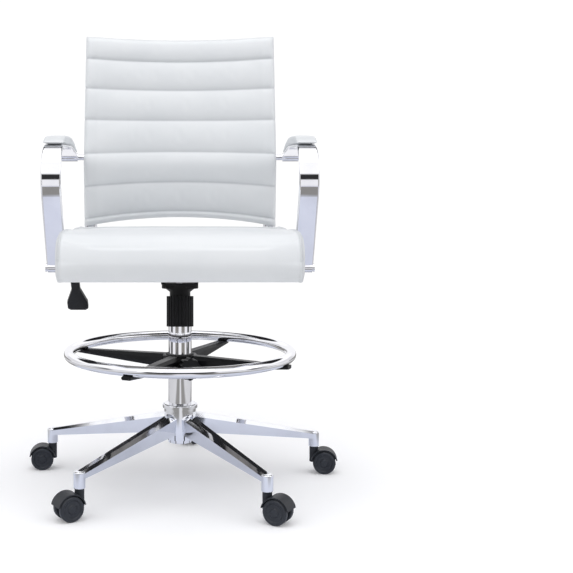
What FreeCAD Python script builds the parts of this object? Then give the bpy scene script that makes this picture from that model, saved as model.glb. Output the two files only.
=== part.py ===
import FreeCAD, Part
import math
import os

os.makedirs("parts", exist_ok=True)

# Drafting chair on a five-legged castered base, with a gas column, a foot ring,
# a tilting seat frame, a channelled back and two loop arms.
# Frame: millimetres, +Z up, origin on the floor on the column axis,
# front of the chair towards -Y, the height lever on the -X side.

V = FreeCAD.Vector
X_AXIS = V(1, 0, 0)
Y_AXIS = V(0, 1, 0)
Z_AXIS = V(0, 0, 1)
ORIGIN = V(0, 0, 0)

# ---- clearances --------------------------------------------------------------
RUN = 0.05                # radial gap of a turning or sliding fit
PART_GAP = 0.3            # gap between parts that only lie beside each other
LOOSE = 1.0               # room round a bolt that passes through a hole

# ---- casters and star base ---------------------------------------------------
LEG_COUNT = 5
LEG_FIRST_DEG = 14.85     # plan angle of the first leg
STEM_CIRCLE_R = 310.0
WHEEL_R = 25.0
WHEEL_W = 12.0
WHEEL_GAP = 15.0          # clear space between the two wheels of a caster
TRAIL = 23.0              # stem axis to axle axis
AXLE_R = 3.0
STEM_R = 5.5
STEM_LEN = 27.0
CASTER_TRAIL_DEG = (-5.0, 75.0, 185.0, 210.0, 330.0)
CASTER_ROOM = 10.0        # height kept for the hood above the wheels
SOCKET_R = STEM_R + 6.0
SOCKET_BOTTOM_Z = 2 * WHEEL_R + CASTER_ROOM
LEG_TIP_TOP_Z = SOCKET_BOTTOM_Z + 32.5
LEG_RISE = 60.5           # fall of the leg crown from hub to tip
LEG_ROOT_TOP_Z = LEG_TIP_TOP_Z + LEG_RISE
COLUMN_R = 25.0
LEG_ROOT_R = COLUMN_R + 13.0
LEG_ROOT_DEPTH = 43.0
LEG_TIP_DEPTH = 15.0
LEG_ROOT_W = 31.0
LEG_TIP_W = 23.0
LEG_WALL = 3.5
HUB_TOP_Z = LEG_ROOT_TOP_Z + 21.0
HUB_BOTTOM_Z = LEG_ROOT_TOP_Z - 56.0
HUB_FLANGE_R = COLUMN_R + 12.5
HUB_FLANGE_T = 9.0
HUB_BODY_R = COLUMN_R + 9.0
HUB_FOOT_R = COLUMN_R + 5.0

# ---- gas column --------------------------------------------------------------
COLUMN_WALL = 1.5
COLUMN_REACH = 179.0      # column tube above the hub
COLUMN_TOP_Z = HUB_TOP_Z + COLUMN_REACH
COLUMN_DROP = 7.0         # how far the tube stands out below the hub
COLUMN_FLOOR_T = 4.0
CYL_R = 14.0
CYL_WALL = 1.5
LIFT_DOWN = 45.0
LIFT_UP = 155.0
CYL_EXPOSED = 51.0        # cylinder seen between the tube and the housing
GUIDE_LEN = 44.0
GUIDE_RIM_R = COLUMN_R + 1.4
GUIDE_RIM_T = 3.0
WIPER_R = CYL_R + 3.0
WIPER_T = 1.2
ROD_R = 5.0
BEARING_T = 6.0
BUMP_T = 4.0
PISTON_T = 14.0
CLIP_T = 2.0

# ---- foot ring ---------------------------------------------------------------
RING_R = 239.0
RING_TUBE_R = 11.0
RING_WALL = 1.5
RING_Z = HUB_TOP_Z + 110.0
SPOKE_COUNT = 4
SPOKE_FIRST_DEG = 65.0
SPOKE_ROOT_W = 27.0
SPOKE_TIP_W = 21.0
SPOKE_ROOT_TOP_Z = RING_Z - 4.0
SPOKE_ROOT_BOTTOM_Z = RING_Z - 34.0
SPOKE_TIP_T = 8.0
SPOKE_END_R = RING_R + RING_TUBE_R
SPIDER_HUB_R = COLUMN_R + 12.0
SPIDER_HUB_BOTTOM_Z = RING_Z - 46.0
BUSH_T = 3.0
BUSH_SLIT = 2.5
RING_KNOB_DEG = -70.0
RING_KNOB_Z = RING_Z - 27.0
RING_KNOB_R = 24.0
RING_KNOB_OUTER = SPIDER_HUB_R + 29.0
RING_KNOB_LEN = 19.0
RING_SCREW_R = 3.0

# ---- seat width --------------------------------------------------------------
SEAT_HALF_W = 238.0

# ---- tilt mechanism ----------------------------------------------------------
RAIL_DROP = 0.047         # fall of the seat rails per millimetre towards the rear
PIVOT_Y = -50.0
HOUSING_BOTTOM_Z = COLUMN_TOP_Z + CYL_EXPOSED
PIVOT_Z = HOUSING_BOTTOM_Z + 53.0
PIVOT_R = 4.0
HOUSING_HALF_W = 38.0
HOUSING_HALF_L = 54.0
HOUSING_FRONT_Y = -98.0
HOUSING_NECK_R = CYL_R + 4.5
HOUSING_SHOULDER_Z = HOUSING_BOTTOM_Z + 28.0
HOUSING_TOP_Z = HOUSING_SHOULDER_Z + 10.0
CHEEK_T = 6.0
CHEEK_HALF_L = 13.0
CHEEK_TOP = 10.0          # cheek height above the pivot axis
EAR_T = 3.0
EAR_HALF_L = 15.0
EAR_BELOW = 10.0
PLATE_T = 3.0
PLATE_HALF_W = 75.0
PLATE_FRONT_Y = -105.0
PLATE_REAR_Y = 85.0
TAPER_TOP_R = CYL_R - 0.8
BUTTON_R = 5.0
BUTTON_H = 5.0
TAPER_TOP_Z = HOUSING_BOTTOM_Z + 26.0

TENSION_Y = -85.0
TENSION_Z = HOUSING_BOTTOM_Z - 20.0
TENSION_TILT_DEG = 7.0
TENSION_KNOB_R = 28.0
TENSION_KNOB_LEN = 63.0
TENSION_KNOB_RIBS = 24
SPRING_CUP_R = 21.5
SPRING_CUP_WALL = 3.0
TENSION_BOLT_R = 5.0
THREAD_PITCH = 1.5
TENSION_TRAVEL = 6.0
DISC_OUTER_R = 15.0
DISC_INNER_R = 7.0
DISC_T = 1.6
DISC_COUNT = 8            # discs of the tension spring, an even number

LEVER_Y = 14.0
LEVER_Z = TAPER_TOP_Z + 8.0
LEVER_R = 4.0
LEVER_SLEEVE_R = 6.5
LEVER_END_X = 2.0 - SEAT_HALF_W
LEVER_PULL = 12.0
LEVER_LIFT_DEG = 9.0
PADDLE_BOTTOM_Y = 92.0
PADDLE_BOTTOM_Z = LEVER_Z - 71.0
PADDLE_TOP_W = 19.0
PADDLE_BOTTOM_W = 46.0
PADDLE_T = 11.0
PADDLE_X = 10.0 - SEAT_HALF_W

# ---- side frames, seat and back ----------------------------------------------
RAIL_W = 30.0
RAIL_X = SEAT_HALF_W - 25.0
RAIL_T = 15.0
RAIL_WALL = 1.8
RAIL_PLUG_T = 3.0
RAIL_FRONT_Y = -203.0
RAIL_FRONT_Z = HOUSING_BOTTOM_Z + 74.0
HEEL_Y = 274.5
HEEL_R = 95.0
KINK_Y = 240.8
KINK_Z = RAIL_FRONT_Z + 213.5
KINK_R = 60.0
TOP_Y = 323.0
TOP_Z = RAIL_FRONT_Z + 517.0

BOARD_T = 12.0
BOARD_HALF_W = SEAT_HALF_W - 16.0
BOARD_FRONT_Y = -198.0
BOARD_REAR_Y = 150.0
CUSHION_HALF_W = SEAT_HALF_W
CUSHION_REAR_Y = 183.0
CUSHION_REAR_TOP_Z = RAIL_FRONT_Z + 69.0
CUSHION_CREST_Y = -190.0
CUSHION_CREST_Z = RAIL_FRONT_Z + 83.0
NOSE_Y = -276.0
NOSE_Z = RAIL_FRONT_Z + 21.0
NOSE_BOTTOM_Y = -256.0
NOSE_BOTTOM_Z = RAIL_FRONT_Z - 16.0
NOSE_LIP_Y = -221.0
NOSE_LIP_Z = RAIL_FRONT_Z - 2.0

PAD_HALF_W = RAIL_X + RAIL_W / 2
PAD_T = 25.0
PAD_WING = 32.0
PAD_SAG = 30.0
PAD_TOP_CORNER_Z = TOP_Z + 6.0
PAD_TOP_MID_Z = TOP_Z
PAD_BOTTOM_CORNER_Z = RAIL_FRONT_Z + 64.0
PAD_BOTTOM_MID_Z = RAIL_FRONT_Z + 84.0
TAB_W = 22.0
TAB_H = 14.0
TAB_T = 5.0

BAND_T = 8.0
BAND_SET = 3.0            # how far the band ends sit behind the rail centre line
UPPER_BAND_MID_Z = TOP_Z - 50.0
UPPER_BAND_END_H = 88.0
UPPER_BAND_MID_H = 62.0
UPPER_BAND_SAG = 50.0
MIDDLE_BAND_MID_Z = TOP_Z - 187.0
MIDDLE_BAND_END_H = 64.0
MIDDLE_BAND_MID_H = 48.0
MIDDLE_BAND_SAG = 42.0
BAND_SCREW_R = 3.0

# ---- arms --------------------------------------------------------------------
ARM_W = 41.5
ARM_X = SEAT_HALF_W + 2.75 + ARM_W / 2
ARM_T = 7.0
ARM_FOOT_Y = -36.0
ARM_LEAN = 0.6084         # run towards the front per millimetre of rise
ARM_TOP_Z = RAIL_FRONT_Z + 249.8
ARM_BEND_R = 67.5
ARM_KNEE_Y = 100.0
ARM_KNEE_R = 200.0
ARM_REAR_Z = RAIL_FRONT_Z + 229.0
STUB_R = RAIL_T / 2 - 0.5
STUB_CAP_R = 8.6
STUB_CAP_T = 3.0
STUB_EYE_R = 10.0
STUB_EYE_INSET = 2.0
ARM_PAD_FRONT_Y = -97.0
ARM_PAD_REAR_Y = 214.0
ARM_PAD_W = 46.0
ARM_PAD_T = 19.0


def write(shape, name):
    """Write one node as a STEP file."""
    shape.exportStep("parts/" + name + ".step")


def cylinder(radius, length, base=ORIGIN, axis=Z_AXIS):
    """Solid cylinder from a base point along an axis."""
    return Part.makeCylinder(radius, length, base, axis)


def pipe(outer, inner, length, base=ORIGIN, axis=Z_AXIS):
    """Straight round tube."""
    return cylinder(outer, length, base, axis).cut(cylinder(inner, length, base, axis))


def block(x0, x1, y0, y1, z0, z1):
    """Axis-aligned box between limits."""
    return Part.makeBox(x1 - x0, y1 - y0, z1 - z0, V(x0, y0, z0))


def polar(radius, degrees, z=0.0):
    """Point at a plan radius and angle."""
    angle = math.radians(degrees)
    return V(radius * math.cos(angle), radius * math.sin(angle), z)


def turned(shape, degrees, about=ORIGIN, axis=Z_AXIS):
    """Copy of a shape turned about an axis."""
    copy = shape.copy()
    copy.rotate(about, axis, degrees)
    return copy


def moved(shape, offset):
    """Copy of a shape moved by a vector."""
    copy = shape.copy()
    copy.translate(offset)
    return copy


def mirrored(shape):
    """Copy of a shape mirrored to the other side of the chair."""
    return shape.mirror(ORIGIN, X_AXIS)


def fuse_all(shapes):
    """Union of several shapes as one clean solid."""
    whole = shapes[0]
    if len(shapes) > 1:
        whole = shapes[0].multiFuse(shapes[1:])
    return whole.removeSplitter()


def rounded_path(points, radii):
    """Wire of lines joined by tangent arcs, one radius per inner corner."""
    edges = []
    start = points[0]
    for index, radius in enumerate(radii):
        corner = points[index + 1]
        before = (corner - points[index]).normalize()
        after = (points[index + 2] - corner).normalize()
        turn = before.getAngle(after)
        reach = radius * math.tan(turn / 2)
        arc_start = corner - before * reach
        arc_end = corner + after * reach
        inward = (after - before).normalize()
        centre = corner + inward * (radius / math.cos(turn / 2))
        arc_mid = centre - inward * radius
        edges.append(Part.LineSegment(start, arc_start).toShape())
        edges.append(Part.Arc(arc_start, arc_mid, arc_end).toShape())
        start = arc_end
    edges.append(Part.LineSegment(start, points[-1]).toShape())
    return Part.Wire(edges)


def stadium(centre, normal, width, thick):
    """Flat-oval wire, wide along X, square to the path."""
    across = normal.cross(X_AXIS).normalize()
    round_r = thick / 2
    flat = width / 2 - round_r
    upper_out = centre + X_AXIS * flat + across * round_r
    upper_in = centre - X_AXIS * flat + across * round_r
    lower_out = centre + X_AXIS * flat - across * round_r
    lower_in = centre - X_AXIS * flat - across * round_r
    tip_out = centre + X_AXIS * (flat + round_r)
    tip_in = centre - X_AXIS * (flat + round_r)
    return Part.Wire([
        Part.LineSegment(upper_in, upper_out).toShape(),
        Part.Arc(upper_out, tip_out, lower_out).toShape(),
        Part.LineSegment(lower_out, lower_in).toShape(),
        Part.Arc(lower_in, tip_in, upper_in).toShape(),
    ])


def swept(path, profile):
    """Solid swept along a wire, with its skin facing outwards."""
    solid = path.makePipeShell([profile], True, False)
    if solid.Volume < 0:
        solid.reverse()
    return solid


def oval_bar(points, radii, width, thick):
    """Flat-oval bar along a rounded path."""
    path = rounded_path(points, radii)
    direction = (points[1] - points[0]).normalize()
    return swept(path, stadium(points[0], direction, width, thick))


def polygon_prism(corners, height, direction):
    """Prism over a closed polygon."""
    wire = Part.makePolygon(corners + [corners[0]])
    return Part.Face(wire).extrude(direction * height)


def lofted(wires):
    """Solid lofted through closed wires with straight rulings."""
    return Part.makeLoft(wires, True, True)


# ---- dependent sizes ---------------------------------------------------------
CASTER_BORE_TOP_Z = SOCKET_BOTTOM_Z + STEM_LEN + 1.0
LEG_SLOPE = (LEG_ROOT_TOP_Z - LEG_TIP_TOP_Z) / (STEM_CIRCLE_R - LEG_ROOT_R)
COLUMN_BOTTOM_Z = HUB_BOTTOM_Z - COLUMN_DROP
COLUMN_FLOOR_Z = COLUMN_BOTTOM_Z + COLUMN_FLOOR_T
BEARING_TOP_Z = COLUMN_FLOOR_Z + BEARING_T
BUMP_TOP_Z = BEARING_TOP_Z + BUMP_T
CYL_BOTTOM_Z = BUMP_TOP_Z + LIFT_DOWN + PART_GAP
CYL_CAP_T = 10.0
PISTON_BASE_Z = CYL_BOTTOM_Z + CYL_CAP_T + LIFT_UP + PART_GAP
RING_SADDLE = 2.0         # how deep the ring sits in each spoke tip
SPOKE_TIP_TOP_Z = RING_Z - RING_TUBE_R + RING_SADDLE
RING_SEAT_Z = SPOKE_TIP_TOP_Z - SPOKE_TIP_T + 3.5
LEG_ANGLES = [LEG_FIRST_DEG + index * 360.0 / LEG_COUNT for index in range(LEG_COUNT)]
SPOKE_ANGLES = [SPOKE_FIRST_DEG + index * 360.0 / SPOKE_COUNT for index in range(SPOKE_COUNT)]


def rail_z(y):
    """Height of the rail centre line under the seat."""
    return RAIL_FRONT_Z - (y - RAIL_FRONT_Y) * RAIL_DROP


RAIL_RISE = RAIL_T / 2 * math.sqrt(1 + RAIL_DROP * RAIL_DROP)


def board_z(y):
    """Height of the underside of the seat board, on the rails."""
    return rail_z(y) + RAIL_RISE


# ---- casters -----------------------------------------------------------------
def place_caster(shape, index):
    """Set a caster piece under its leg, trailing in its own direction."""
    trail = turned(shape, CASTER_TRAIL_DEG[index])
    return moved(trail, polar(STEM_CIRCLE_R, LEG_ANGLES[index]))


AXLE_Z = WHEEL_R
HOOD_HALF_W = WHEEL_GAP / 2 - 0.8
HOOD_TOP_Z = SOCKET_BOTTOM_Z - 1.0
FENDER_R = WHEEL_R + 4.5
FENDER_T = 2.5
FENDER_HALF_W = WHEEL_GAP / 2 + WHEEL_W - 1.0
HOOD_BOSS_R = STEM_R + 4.0


def caster_hood():
    """Hood: centre web, stem boss, axle boss and a fender over both wheels."""
    axle = V(TRAIL, -HOOD_HALF_W, AXLE_Z)
    axle_boss = cylinder(HOOD_BOSS_R, 2 * HOOD_HALF_W, axle, Y_AXIS)
    fender_base = V(TRAIL, -FENDER_HALF_W, AXLE_Z)
    fender = pipe(FENDER_R, FENDER_R - FENDER_T, 2 * FENDER_HALF_W, fender_base, Y_AXIS)
    web_base = V(TRAIL, -HOOD_HALF_W, AXLE_Z)
    web = cylinder(FENDER_R, 2 * HOOD_HALF_W, web_base, Y_AXIS)
    cover = fender.fuse(web)
    below = block(-WHEEL_R, TRAIL + 2 * WHEEL_R, -2 * WHEEL_R, 2 * WHEEL_R, -WHEEL_R, AXLE_Z + 6.0)
    cover = cover.cut(below)
    stem_boss = cylinder(HOOD_BOSS_R, HOOD_TOP_Z - AXLE_Z, V(0, 0, AXLE_Z))
    stem_boss = stem_boss.cut(cylinder(WHEEL_R + 1.0, 4 * HOOD_BOSS_R, V(TRAIL, HOOD_HALF_W, AXLE_Z), Y_AXIS))
    stem_boss = stem_boss.cut(
        cylinder(WHEEL_R + 1.0, 4 * HOOD_BOSS_R, V(TRAIL, -HOOD_HALF_W, AXLE_Z), -Y_AXIS))
    bridge = block(0, TRAIL, -HOOD_HALF_W, HOOD_HALF_W, AXLE_Z - HOOD_BOSS_R / 2, AXLE_Z + WHEEL_R)
    hood = fuse_all([cover, axle_boss, stem_boss, bridge])
    hood = hood.cut(cylinder(STEM_R, HOOD_TOP_Z, V(0, 0, AXLE_Z + HOOD_BOSS_R)))
    hood = hood.cut(cylinder(AXLE_R, 4 * HOOD_HALF_W, V(TRAIL, -2 * HOOD_HALF_W, AXLE_Z), Y_AXIS))
    return hood


def caster_pins():
    """Swivel stem with its collar, and the wheel axle."""
    stem_base_z = AXLE_Z + HOOD_BOSS_R
    stem_top_z = SOCKET_BOTTOM_Z + STEM_LEN
    stem = cylinder(STEM_R, stem_top_z - stem_base_z, V(0, 0, stem_base_z))
    stem = stem.makeChamfer(1.0, [edge for edge in stem.Edges if edge.CenterOfMass.z > stem_top_z - 1])
    half = WHEEL_GAP / 2 + WHEEL_W - 2.0
    axle = cylinder(AXLE_R, 2 * half, V(TRAIL, -half, AXLE_Z), Y_AXIS)
    return Part.makeCompound([stem, axle])


def caster_wheel(side):
    """Wheel with a rounded tread, a dished outer face and a hub bore."""
    inner_y = WHEEL_GAP / 2
    outer_y = inner_y + WHEEL_W
    round_r = 2.5
    dish_r = WHEEL_R - 6.0
    dish_depth = 2.0
    hub_r = 7.5
    bore_end = outer_y - 1.5
    bore = AXLE_R + RUN
    outline = [
        V(bore, inner_y, 0),
        V(WHEEL_R - round_r, inner_y, 0),
        V(WHEEL_R, inner_y + round_r, 0),
        V(WHEEL_R, outer_y - round_r, 0),
        V(WHEEL_R - round_r, outer_y, 0),
        V(dish_r, outer_y, 0),
        V(dish_r - dish_depth, outer_y - dish_depth, 0),
        V(hub_r + dish_depth, outer_y - dish_depth, 0),
        V(hub_r, outer_y, 0),
        V(0, outer_y, 0),
        V(0, bore_end, 0),
        V(bore, bore_end, 0),
    ]
    face = Part.Face(Part.makePolygon(outline + [outline[0]]))
    wheel = face.revolve(ORIGIN, Y_AXIS, 360)
    wheel = moved(wheel, V(TRAIL, 0, AXLE_Z))
    if side < 0:
        wheel = wheel.mirror(ORIGIN, Y_AXIS)
    return wheel


for caster_index in range(LEG_COUNT):
    label = str(caster_index + 1)
    write(place_caster(caster_hood(), caster_index), "caster_hood_" + label)
    write(place_caster(caster_pins(), caster_index), "caster_pins_" + label)
    write(place_caster(caster_wheel(1), caster_index), "caster_wheel_a_" + label)
    write(place_caster(caster_wheel(-1), caster_index), "caster_wheel_b_" + label)


# ---- star base ---------------------------------------------------------------
def leg_section(radius, width, depth, top_z, lift=0.0):
    """Faceted leg section: flat crown, sloped shoulders and upright sides."""
    half = width / 2
    crown = half * 0.45
    shoulder = min(depth * 0.3, half * 0.6)
    top = top_z
    bottom = top_z - depth + lift
    points = [
        V(radius, -half * 0.86, bottom),
        V(radius, -half, top - shoulder),
        V(radius, -crown, top),
        V(radius, crown, top),
        V(radius, half, top - shoulder),
        V(radius, half * 0.86, bottom),
    ]
    return Part.makePolygon(points + [points[0]])


def leg_top(radius):
    """Height of the leg crown at a plan radius."""
    return LEG_ROOT_TOP_Z - (radius - LEG_ROOT_R) * LEG_SLOPE


def leg_blend(radius, root, tip):
    """Value that changes evenly from the leg root to its tip."""
    share = (radius - LEG_ROOT_R) / (STEM_CIRCLE_R - LEG_ROOT_R)
    return root + (tip - root) * share


def leg_loft(radii, inset, crown_drop):
    """Leg body through sections, or its hollow when inset."""
    wires = []
    for radius in radii:
        width = leg_blend(radius, LEG_ROOT_W, LEG_TIP_W) - 2 * inset
        depth = leg_blend(radius, LEG_ROOT_DEPTH, LEG_TIP_DEPTH)
        wires.append(leg_section(radius, width, depth, leg_top(radius) - crown_drop))
    return lofted(wires)


def star_base():
    """One-piece base: hub, five hollow legs and their stem sockets."""
    column_hole = cylinder(COLUMN_R, 2 * HUB_TOP_Z)
    hub = cylinder(HUB_BODY_R, HUB_TOP_Z - HUB_BOTTOM_Z, V(0, 0, HUB_BOTTOM_Z))
    foot_h = LEG_ROOT_TOP_Z - LEG_ROOT_DEPTH - HUB_BOTTOM_Z
    hub = hub.cut(pipe(2 * HUB_BODY_R, HUB_FOOT_R, foot_h, V(0, 0, HUB_BOTTOM_Z)))
    flange = cylinder(HUB_FLANGE_R, HUB_FLANGE_T, V(0, 0, HUB_TOP_Z - HUB_FLANGE_T))
    rim_edges = [edge for edge in flange.Edges if edge.CenterOfMass.z > HUB_TOP_Z - 1]
    flange = flange.makeFillet(HUB_FLANGE_T / 3, rim_edges)
    inner_r = LEG_ROOT_R - COLUMN_R / 2
    outer_r = STEM_CIRCLE_R
    leg = leg_loft([inner_r, outer_r], 0.0, 0.0)
    tip = cylinder(SOCKET_R, LEG_TIP_TOP_Z - SOCKET_BOTTOM_Z, V(STEM_CIRCLE_R, 0, SOCKET_BOTTOM_Z))
    tip = tip.makeFillet(3.0, [edge for edge in tip.Edges if edge.CenterOfMass.z > LEG_TIP_TOP_Z - 1])
    hollow_r = STEM_CIRCLE_R - SOCKET_R - LEG_WALL
    hollow = leg_loft([LEG_ROOT_R + LEG_WALL, hollow_r], LEG_WALL, LEG_WALL + 1.0)
    hollow_floor = leg_loft([LEG_ROOT_R + LEG_WALL, hollow_r], LEG_WALL, LEG_WALL + 6.0)
    hollow_floor = moved(hollow_floor, V(0, 0, -6.0))
    socket = cylinder(STEM_R + RUN, CASTER_BORE_TOP_Z - SOCKET_BOTTOM_Z, V(STEM_CIRCLE_R, 0, SOCKET_BOTTOM_Z))
    one_leg = leg.fuse(tip).cut(hollow).cut(hollow_floor).cut(socket)
    legs = [turned(one_leg, angle) for angle in LEG_ANGLES]
    body = fuse_all([hub, flange] + legs)
    return body.cut(column_hole)


write(star_base(), "star_base")


# ---- gas column --------------------------------------------------------------
def column_tube():
    """Outer column tube with its closed bottom plate."""
    length = COLUMN_TOP_Z - COLUMN_BOTTOM_Z
    tube = cylinder(COLUMN_R, length, V(0, 0, COLUMN_BOTTOM_Z))
    inside = cylinder(COLUMN_R - COLUMN_WALL, length, V(0, 0, COLUMN_FLOOR_Z))
    rod_hole = cylinder(ROD_R + LOOSE, COLUMN_FLOOR_T, V(0, 0, COLUMN_BOTTOM_Z))
    return tube.cut(inside).cut(rod_hole)


def guide_sleeve():
    """Plastic guide in the tube mouth, with its rim and wiper lip."""
    bore = cylinder(CYL_R + RUN, 2 * COLUMN_TOP_Z)
    body = cylinder(COLUMN_R - COLUMN_WALL, GUIDE_LEN, V(0, 0, COLUMN_TOP_Z - GUIDE_LEN))
    rim = cylinder(GUIDE_RIM_R, GUIDE_RIM_T, V(0, 0, COLUMN_TOP_Z))
    wiper = cylinder(WIPER_R, WIPER_T, V(0, 0, COLUMN_TOP_Z + GUIDE_RIM_T))
    return fuse_all([body, rim, wiper]).cut(bore)


def thrust_bearing():
    """Thrust bearing and bump ring on the column floor."""
    bearing = pipe(CYL_R, ROD_R + RUN, BEARING_T, V(0, 0, COLUMN_FLOOR_Z))
    bump = pipe(CYL_R - 2.0, ROD_R + RUN, BUMP_T, V(0, 0, BEARING_TOP_Z))
    return bearing.fuse(bump)


def piston_rod():
    """Rod with its piston, held by the clip below the column floor."""
    clip_z = COLUMN_BOTTOM_Z - CLIP_T - 2 * RUN
    rod_z = clip_z - CLIP_T
    rod = cylinder(ROD_R, PISTON_BASE_Z - rod_z, V(0, 0, rod_z))
    piston = cylinder(CYL_R - CYL_WALL - RUN, PISTON_T, V(0, 0, PISTON_BASE_Z))
    return rod.fuse(piston)


def rod_clip():
    """Retaining clip and washer under the column floor."""
    return pipe(2 * ROD_R, ROD_R, CLIP_T, V(0, 0, COLUMN_BOTTOM_Z - CLIP_T - 2 * RUN))


def gas_cylinder():
    """Pressure cylinder with a tapered top, a rod guide and a button well."""
    body = cylinder(CYL_R, HOUSING_BOTTOM_Z - CYL_BOTTOM_Z, V(0, 0, CYL_BOTTOM_Z))
    taper = Part.makeCone(CYL_R, TAPER_TOP_R, TAPER_TOP_Z - HOUSING_BOTTOM_Z, V(0, 0, HOUSING_BOTTOM_Z))
    inside_z = CYL_BOTTOM_Z + CYL_CAP_T
    inside = cylinder(CYL_R - CYL_WALL, HOUSING_BOTTOM_Z - inside_z, V(0, 0, inside_z))
    guide = cylinder(ROD_R + RUN, CYL_CAP_T, V(0, 0, CYL_BOTTOM_Z))
    well = cylinder(BUTTON_R + RUN, BUTTON_H + LOOSE, V(0, 0, TAPER_TOP_Z - BUTTON_H - LOOSE))
    return body.fuse(taper).cut(inside).cut(guide).cut(well)


write(column_tube(), "column_tube")
write(guide_sleeve(), "guide_sleeve")
write(thrust_bearing(), "thrust_bearing")
write(Part.makeCompound([piston_rod(), rod_clip()]), "piston_rod")
write(gas_cylinder(), "gas_cylinder")
button_z = TAPER_TOP_Z - BUTTON_H / 2
write(cylinder(BUTTON_R, BUTTON_H, V(0, 0, button_z)), "release_button")
BUTTON_TOP_Z = button_z + BUTTON_H


# ---- foot ring ---------------------------------------------------------------
BUSH_R = COLUMN_R + RUN + BUSH_T
BUSH_BASE_Z = SPIDER_HUB_BOTTOM_Z - 2.0
BUSH_TOP_Z = SPOKE_ROOT_TOP_Z + 2.0


def ring_bush():
    """Split bush that slides on the column, with lips over the spider hub."""
    lip_r = BUSH_R + 2.0
    lip_t = 2.0 - 2 * RUN
    body = cylinder(BUSH_R, BUSH_TOP_Z - BUSH_BASE_Z, V(0, 0, BUSH_BASE_Z))
    lower = cylinder(lip_r, lip_t, V(0, 0, BUSH_BASE_Z))
    upper = cylinder(lip_r, lip_t, V(0, 0, BUSH_TOP_Z - lip_t))
    bush = fuse_all([body, lower, upper])
    bush = bush.cut(cylinder(COLUMN_R + RUN, 2 * BUSH_TOP_Z))
    slit = block(-2 * lip_r, 0, -BUSH_SLIT / 2, BUSH_SLIT / 2, 0, 2 * BUSH_TOP_Z)
    return bush.cut(slit)


def spoke_section(radius, width, bottom_z, top_z):
    """Rounded-top spoke section."""
    half = width / 2
    chamfer = (top_z - bottom_z) * 0.3
    points = [
        V(radius, -half * 0.8, bottom_z),
        V(radius, -half, bottom_z + chamfer),
        V(radius, -half, top_z - chamfer),
        V(radius, -half * 0.7, top_z),
        V(radius, half * 0.7, top_z),
        V(radius, half, top_z - chamfer),
        V(radius, half, bottom_z + chamfer),
        V(radius, half * 0.8, bottom_z),
    ]
    return Part.makePolygon(points + [points[0]])


KNOB_STEM_R = 4.0
CLAMP_BOSS_R = 11.0
CLAMP_BOSS_OUTER = RING_KNOB_OUTER - RING_KNOB_LEN - 4.0
CLAMP_PAD_R = 5.0
CLAMP_PAD_T = 5.0
CLAMP_TRAVEL = 2.5
CLAMP_PAD_CLEAR = 0.6


def radial(shape_z_up, z):
    """Lay a shape built along +Z out along the clamp knob's radial line."""
    laid = turned(shape_z_up, 90, ORIGIN, Y_AXIS)
    laid = turned(laid, RING_KNOB_DEG)
    return moved(laid, V(0, 0, z))


def ring_spider():
    """Hub collar with four spokes, and the boss for the clamp screw."""
    hub_h = SPOKE_ROOT_TOP_Z - SPIDER_HUB_BOTTOM_Z
    hub = cylinder(SPIDER_HUB_R, hub_h, V(0, 0, SPIDER_HUB_BOTTOM_Z))
    hub = hub.makeChamfer(2.0, hub.Edges[0:1] + hub.Edges[2:3])
    bodies = [hub]
    for angle in SPOKE_ANGLES:
        root = spoke_section(COLUMN_R + 5.0, SPOKE_ROOT_W, SPOKE_ROOT_BOTTOM_Z, SPOKE_ROOT_TOP_Z)
        tip_bottom = SPOKE_TIP_TOP_Z - SPOKE_TIP_T
        tip = spoke_section(SPOKE_END_R, SPOKE_TIP_W, tip_bottom, SPOKE_TIP_TOP_Z)
        bodies.append(turned(lofted([root, tip]), angle))
    boss = cylinder(CLAMP_BOSS_R, CLAMP_BOSS_OUTER - COLUMN_R, V(0, 0, COLUMN_R))
    bodies.append(radial(boss, RING_KNOB_Z))
    spider = fuse_all(bodies)
    spider = spider.cut(cylinder(BUSH_R + RUN, 2 * HUB_TOP_Z))
    spider = spider.cut(radial(cylinder(KNOB_STEM_R + RUN, RING_KNOB_OUTER), RING_KNOB_Z))
    pad_room = 1.0 + CLAMP_PAD_T + CLAMP_TRAVEL + CLAMP_PAD_CLEAR
    pocket = cylinder(CLAMP_PAD_R + RUN, pad_room, V(0, 0, BUSH_R - 1.0))
    spider = spider.cut(radial(pocket, RING_KNOB_Z))
    spider = spider.cut(Part.makeTorus(RING_R, RING_TUBE_R, V(0, 0, RING_Z)))
    for angle in SPOKE_ANGLES:
        hole = cylinder(RING_SCREW_R, RING_Z, polar(RING_R, angle))
        counterbore = cylinder(2 * RING_SCREW_R + PART_GAP, RING_SEAT_Z, polar(RING_R, angle))
        spider = spider.cut(hole).cut(counterbore)
    return spider


def foot_ring():
    """Round tube ring."""
    tube = Part.makeTorus(RING_R, RING_TUBE_R, V(0, 0, RING_Z))
    inside = Part.makeTorus(RING_R, RING_TUBE_R - RING_WALL, V(0, 0, RING_Z))
    ring = tube.cut(inside)
    for angle in SPOKE_ANGLES:
        ring = ring.cut(cylinder(RING_SCREW_R, RING_Z, polar(RING_R, angle)))
    return ring


def spoke_screws():
    """Screws that hold the ring on the spoke tips, one for each spoke."""
    head_z = RING_SEAT_Z
    screws = []
    for angle in SPOKE_ANGLES:
        shank_h = RING_Z - RING_TUBE_R / 2 - head_z
        shank = cylinder(RING_SCREW_R, shank_h, polar(RING_R, angle, head_z))
        head = cylinder(2 * RING_SCREW_R, RING_SCREW_R, polar(RING_R, angle, head_z - RING_SCREW_R))
        screws.append(head.fuse(shank))
    return Part.makeCompound(screws)


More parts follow.
